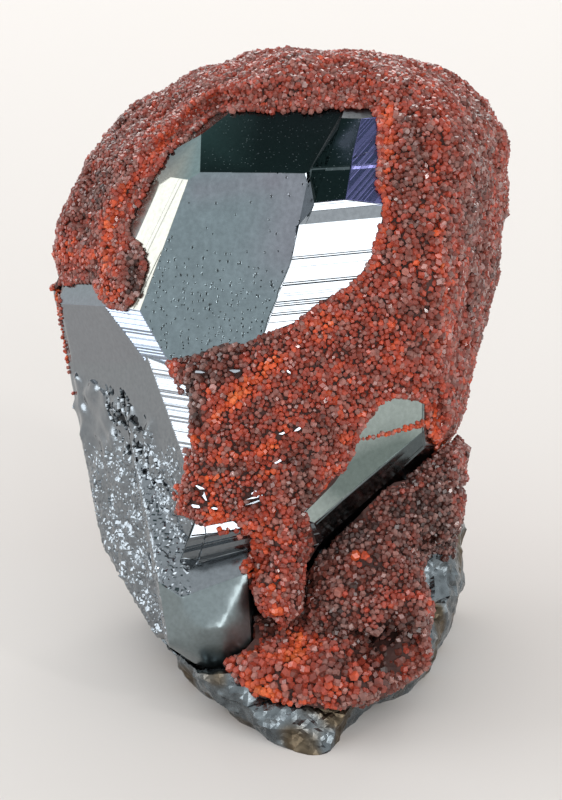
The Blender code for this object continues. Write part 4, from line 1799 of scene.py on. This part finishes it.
    def tints(self, points: Array, normals: Array, rng: np.random.Generator) -> Array:
        """Colours by zones, by noise and from crystal to crystal.

        Args:
            points: the garnets' centres.
            normals: outward normals there.
            rng: random numbers.

        Returns:
            Linear colours.
        """
        pixels = SpecimenFrame.to_photo(points)
        warmth = np.full(len(points), self.warmth)
        broad, small = soft_noise(points, 3.2, self.seed + 3), soft_noise(points, 1.1, self.seed + 4)
        warmth += self.warmth_swing * broad + self.warmth_swing * small
        # The streaks are colour zones, and in the crust also painted shade along creases and under the
        # overhang.
        warmth += streaked(pixels, self.warm) * (normals[:, 1] < TURNED_AWAY)
        warmth += rng.normal(0.0, self.warmth_spread, len(points))
        stops = np.array([linear(colour) for colour in WARMTH_COLOURS])
        colours = np.stack([np.interp(warmth, WARMTH_STOPS, stops[:, i]) for i in range(3)], axis=1)
        mauve = (rng.random(len(points)) < self.mauve_share) & (warmth < self.mauve_below)
        mixed = self.mauve_mixed * np.array(linear(self.mauve))
        colours[mauve] = (1.0 - self.mauve_mixed) * colours[mauve] + mixed
        return colours * rng.uniform(*self.brightness, len(points))[:, None]

    def sides(self, points: Array, normals: Array) -> list[tuple[str, Array]]:
        """Parts the garnets by the side they are on, from the bottom up, so that no piece is too large.

        Args:
            points: the garnets' centres.
            normals: outward normals there.

        Returns:
            Names and the numbers of the garnets.
        """
        if self.node == "matrix_garnet_crust":
            return [("matrix_garnets", np.arange(len(points)))]
        azimuth = np.degrees(np.arctan2(normals[:, 0], -normals[:, 1]))
        top = normals[:, 2] > self.top_above
        front, right = np.abs(azimuth) <= self.front_within, azimuth > self.front_within
        back = np.abs(azimuth) > self.back_beyond
        side = np.select([top, front, right & ~back, back], [0, 1, 2, 3], default=4)
        names = ("top", "front", "right", "back", "left")
        parts = []
        for number, name in enumerate(names):
            members = np.flatnonzero(side == number)
            parts.append((f"garnets_{name}", members[np.argsort(points[members, 2])]))
        return parts

    def garnets(
        self, name: str, centres: Array, tints: Array, scales: Array, material: bpy.types.Material,
        rng: np.random.Generator,
    ) -> bpy.types.Object:
        """Joins the garnets of one side in one mesh.

        Args:
            name: the piece's name.
            centres: the garnets' centres.
            tints: their colours.
            scales: how coarse each is.
            material: the garnet finish.
            rng: random numbers.

        Returns:
            The piece.
        """
        corners, rhombs = dodecahedron()
        count = len(centres)
        uneven = np.clip(rng.normal(1.0, self.grain_swing, count), *self.grain_limits)
        sizes = self.size / 2.0 * scales * uneven
        turned = np.einsum("nij,kj->nki", random_turns(count, rng), corners) * sizes[:, None, None]
        vertices = (turned + centres[:, None, :]).reshape(-1, 3)
        faces = (rhombs[None] + np.arange(count)[:, None, None] * len(corners)).reshape(-1, 4)
        mesh = mesh_from_arrays(name, vertices, faces)
        add_colours(mesh, "tint", np.repeat(tints, len(corners), axis=0))
        return piece(new_object(name, mesh, [material]), self.slot, self.node)

    def skin(
        self, fine: tuple[Array, Array, Array], carriers: list[Carrier], wall: BVHTree,
        ground: bpy.types.Material,
    ) -> bpy.types.Object:
        """The crust's solid drawn in along its normals: the dark ground between the garnets, painted shade in
        the gaps.

        Args:
            fine: the crust's vertices, their normals and its small triangles.
            carriers: what carries it. The solid's inner side, which lies on them, stays in place.
            wall: the sides of the windows.
            ground: the skin's finish.

        Returns:
            The piece.
        """
        points, normals, triangles = fine
        room = np.min([carrier.away(points)[1] for carrier in carriers], axis=0) - self.skin_rest
        depth = np.clip(self.depth_at(points, normals) + self.skin_below, 0.0, np.maximum(room, 0.0))
        places = self.tapered(points - normals * depth[:, None], carriers, wall, self.skin_edge)
        mesh = mesh_from_arrays(f"{self.node}_skin", places, triangles)
        return piece(new_object(f"{self.node}_skin", mesh, [ground]), self.slot, self.node)


@dataclass
class Slivers:
    """Thin plates of bright hematite that show edge on between the garnets; the first ones get a darker tint
    as painted shade.
    """

    azimuth: float = 8.0
    tilt: float = -2.0
    turn: float = 7.0
    depth: float = 0.5
    sunk: float = 0.1
    thin: float = 0.75
    uneven: float = 0.22
    tint: str = "969ca3"
    roughness: float = 0.1
    # How many of the first plates get painted shade, and how dark it is.
    painted_shade_count: int = 2
    shade: float = 0.35
    seed: int = 3

    def build(self, crust: Solid, crystal: Solid, material: bpy.types.Material) -> bpy.types.Object:
        """Makes a plate for each sliver, each turned a little its own way, and joins them.

        Args:
            crust: the garnets' solid, which the plates reach through.
            crystal: the solid that they belong to.
            material: the hematite finish.

        Returns:
            The piece.
        """
        rng = np.random.default_rng(self.seed)
        ring = np.array([(0.0, 0.1), (0.3, 1.0), (0.8, 0.5), (1.0, -0.2), (0.7, -0.9), (0.2, -0.5)])
        around = len(ring)
        here = np.arange(around)
        after = (here + 1) % around
        fan = np.stack([np.zeros(around - 2, int), here[2:], here[1:-1]], axis=1)
        near_rim = np.stack([here, after, here + around], axis=1)
        far_rim = np.stack([after, after + around, here + around], axis=1)
        sides = np.concatenate([fan, near_rim, far_rim])
        eye = np.array([0.0, -PHOTO_DISTANCE, 0.0])
        tree = crust.tree()
        vertices, triangles = [], []
        for streak in SLIVERS:
            first, along = np.array(streak.start), np.subtract(streak.end, streak.start)
            across = self.thin * streak.reach * np.array([-along[1], along[0]]) / np.hypot(*along)
            middle, found = SpecimenFrame.on_photo((first + along / 2.0)[None], tree)
            turn = rng.uniform(-self.turn, self.turn, 2)
            uneven = ring + rng.uniform(-self.uneven, self.uneven, ring.shape)
            if not found[0]:
                continue
            normal = face_direction(self.azimuth + turn[0], self.tilt + turn[1])
            pixels = first + uneven[:, :1] * along + uneven[:, 1:] * across
            rays = np.stack([
                pixels[:, 0] - PHOTO_CENTRE[0], np.full(around, PHOTO_FOCAL), PHOTO_CENTRE[1] - pixels[:, 1],
            ], axis=1)
            level = middle[0] @ normal - self.sunk
            front = eye + rays * ((level - eye @ normal) / (rays @ normal))[:, None]
            triangles.append(sides + 2 * around * len(vertices))
            vertices.append(np.concatenate([front, front + np.array([0.0, self.depth, 0.0])]))
        mesh = mesh_from_arrays("slivers", np.concatenate(vertices), np.concatenate(triangles))
        # The first plates' tint is darkened as painted shade.
        painted_shade = np.where(np.arange(len(vertices)) < self.painted_shade_count, self.shade, 1.0).repeat(2 * around)
        looks = VertexLooks.plain(len(painted_shade), self.tint, self.roughness)
        looks.tint *= painted_shade[:, None]
        looks.store(mesh)
        return piece(new_object("hematite_slivers", mesh, [material]), Slot.BRIGHT_HEMATITE, crystal.node)


@dataclass
class MassiveRoot:
    """The broken massive hematite, with a fine relief of small tilted facets."""

    node: str = "hematite_matrix"
    cell: float = 0.48
    relief: float = 0.16
    coarse_share: float = 0.6
    flat_below_m: float = 0.0001
    full_above_m: float = 0.0006
    fresh: str = "6a7175"
    stained: str = "5c5244"
    polish: float = 0.3
    stain_polish: float = 0.1
    stain_edges: tuple[float, float] = (0.1, 0.5)
    shade_swing: float = 0.5

    def build(self, solid: Solid, material: bpy.types.Material) -> bpy.types.Object:
        """Cuts the solid fine and displaces it, but leaves what it stands on flat.

        Args:
            solid: the CAD node.
            material: the hematite finish.

        Returns:
            The finished piece.
        """
        places, normals, triangles = solid.refined(self.cell)
        world = SpecimenFrame.to_world(places)
        free = smooth_step(world[:, 2], self.flat_below_m, self.full_above_m)
        facets = soft_noise(places, 0.45, 31) + self.coarse_share * soft_noise(places, 1.1, 32)
        moved = places + normals * (self.relief * free * facets)[:, None]
        mesh = mesh_from_arrays("root", moved, triangles)
        stain = smooth_step(soft_noise(places, 2.2, 33), *self.stain_edges)[:, None]
        tint = np.array(linear(self.fresh)) * (1.0 - stain) + np.array(linear(self.stained)) * stain
        tint *= (1.0 + self.shade_swing * soft_noise(places, 0.4, 34))[:, None]
        add_colours(mesh, "tint", tint)
        add_values(mesh, "polish", self.polish + self.stain_polish * stain[:, 0])
        return piece(new_object("hematite_matrix_face", mesh, [material]), Slot.MASSIVE_HEMATITE, self.node)


@dataclass(frozen=True)
class SoftBox:
    """An area light that looks at the specimen.

    Its azimuth is 0 in front and 90 to the right and its height is above the horizon, in degrees.
    Its distance and its width and height are in metres, and its colour is linear.
    """

    name: str
    azimuth: float
    height: float
    distance: float
    size: tuple[float, float]
    radiance: float
    colour: tuple[float, float, float]

    def build(self) -> None:
        """Hangs the light, as strong as a face of its radiance is."""
        light = bpy.data.lights.new(self.name, "AREA")
        light.shape = "RECTANGLE"
        light.size, light.size_y = self.size
        light.energy = self.radiance * self.size[0] * self.size[1] * math.pi
        light.color = self.colour
        obj = bpy.data.objects.new(self.name, light)
        bpy.context.scene.collection.objects.link(obj)
        away = Vector(face_direction(self.azimuth, self.height))
        obj.location = Vector(FRAME_ORIGIN) + away * self.distance
        obj.rotation_euler = away.to_track_quat("Z", "Y").to_euler()
        obj.visible_camera = False


SOFT_BOXES = (
    SoftBox("front box", 17.0, 16.0, 0.9, (0.62, 0.4), 3.8, (1.0, 1.0, 1.0)),
    SoftBox("spark", 48.0, 34.0, 0.9, (0.07, 0.07), 45.0, (1.0, 0.99, 0.97)),
    SoftBox("left box", -97.0, 17.0, 0.9, (0.7, 0.5), 3.0, (0.96, 0.98, 1.0)),
    SoftBox("back box", 180.0, 32.0, 0.5, (0.5, 0.2), 3.0, (1.0, 0.99, 0.97)),
)


@dataclass
class Studio:
    """A pale floor and sky, soft boxes, and a black card overhead that the crystal's roofs mirror."""

    floor_size: float = 3.0
    floor_colour: str = "d3cdc9"
    floor_roughness: float = 0.9
    sky: tuple[float, float, float] = (1.02, 1.05, 1.06)
    card: tuple[float, float, float] = (0.105, 0.165, 0.16)
    card_place: tuple[float, float] = (180.0, 76.0)
    card_radii: tuple[float, float] = (20.0, 25.0)

    def build(self) -> None:
        """Makes the floor, the world, the lights and the camera."""
        self.floor()
        self.world()
        for box in SOFT_BOXES:
            box.build()
        self.camera()

    def floor(self) -> None:
        """A plain pale floor."""
        mesh = bpy.data.meshes.new("floor")
        half = self.floor_size / 2.0
        corners = [(x * half, y * half, 0.0) for x, y in ((-1, -1), (1, -1), (1, 1), (-1, 1))]
        mesh.from_pydata(corners, [], [(0, 1, 2, 3)])
        material, _, shader = new_material("matt paper")
        shader.inputs["Base Color"].default_value = (*linear(self.floor_colour), 1.0)
        shader.inputs["Roughness"].default_value = self.floor_roughness
        new_object("floor", mesh, [material])

    def world(self) -> None:
        """Pale all round but for the card, which has a soft edge."""
        world = bpy.data.worlds.new("studio")
        world.use_nodes = True
        bpy.context.scene.world = world
        tree = world.node_tree
        way = add_node(tree, "ShaderNodeTexCoord").outputs["Generated"]
        likeness = add_node(tree, "ShaderNodeVectorMath", {
            0: way, 1: tuple(face_direction(*self.card_place)),
        }, operation="DOT_PRODUCT")
        ramp = add_node(tree, "ShaderNodeValToRGB", {"Fac": likeness.outputs["Value"]})
        inner, outer = (math.cos(math.radians(radius)) for radius in self.card_radii)
        set_ramp(ramp, [(0.0, self.sky), (outer, self.sky), (inner, self.card)])
        tree.links.new(ramp.outputs["Color"], tree.nodes["Background"].inputs["Color"])

    @staticmethod
    def camera() -> None:
        """The photograph's camera, square on to the leaning crystal."""
        data = bpy.data.cameras.new("camera")
        data.lens = LENS
        data.sensor_width = SENSOR
        data.clip_start = 0.01
        obj = bpy.data.objects.new("camera", data)
        bpy.context.scene.collection.objects.link(obj)
        back = Vector((0.0, -math.cos(LEAN), math.sin(LEAN)))
        obj.location = Vector(FRAME_ORIGIN) + back * PHOTO_DISTANCE * MM
        obj.rotation_euler = (math.pi / 2.0 - LEAN, 0.0, 0.0)
        bpy.context.scene.camera = obj
        bpy.context.scene.view_settings.view_transform = "Standard"


def main() -> None:
    """Builds the specimen and the studio, in order."""
    logging.basicConfig(level=logging.INFO, format="%(name)s %(message)s")
    solids = {name: Solid(name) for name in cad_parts}
    bright = HematiteFinish(
        "specular hematite, as grown", grain_mm=0.09, bump_mm=0.0006, roughness_swing=0.03).build()
    broken = HematiteFinish(
        "massive hematite, broken", grain_mm=0.15, bump_mm=0.01, roughness_swing=0.1).build()
    red = GarnetFinish("andradite, red", 0.16).build()
    brown = GarnetFinish("andradite, brown", 0.18).build()
    ground = GroundFinish("andradite, massive").build()

    crystal = HematiteCrystal().build(solids["hematite_crystal"], bright)
    piece(crystal, Slot.BRIGHT_HEMATITE, "hematite_crystal")
    MassiveRoot().build(solids["hematite_matrix"], broken)
    Slivers().build(solids["garnet_crust"], solids["hematite_crystal"], bright)
    crust = Druse(
        "garnet_crust", Slot.RED_ANDRADITE, ("hematite_crystal",),
        spacing=0.245, size=0.34, warmth=0.4, seed=41,
        warm=CRUST_WARMTH_AND_SHADE, creases=CRUST_CREASES, coarse=CRUST_COARSE, strays=CRUST_STRAYS, gaps=SLIVERS)
    crust.build(solids, red, ground)
    mound = Druse(
        "matrix_garnet_crust", Slot.BROWN_ANDRADITE, ("hematite_crystal", "hematite_matrix"),
        spacing=0.29, size=0.385, warmth=0.14, seed=61,
        warm=MOUND_WARMTH, creases=MOUND_CREASES, coarse=MOUND_COARSE)
    mound.build(solids, brown, ground)
    Studio().build()


if __name__ == "__main__":
    main()
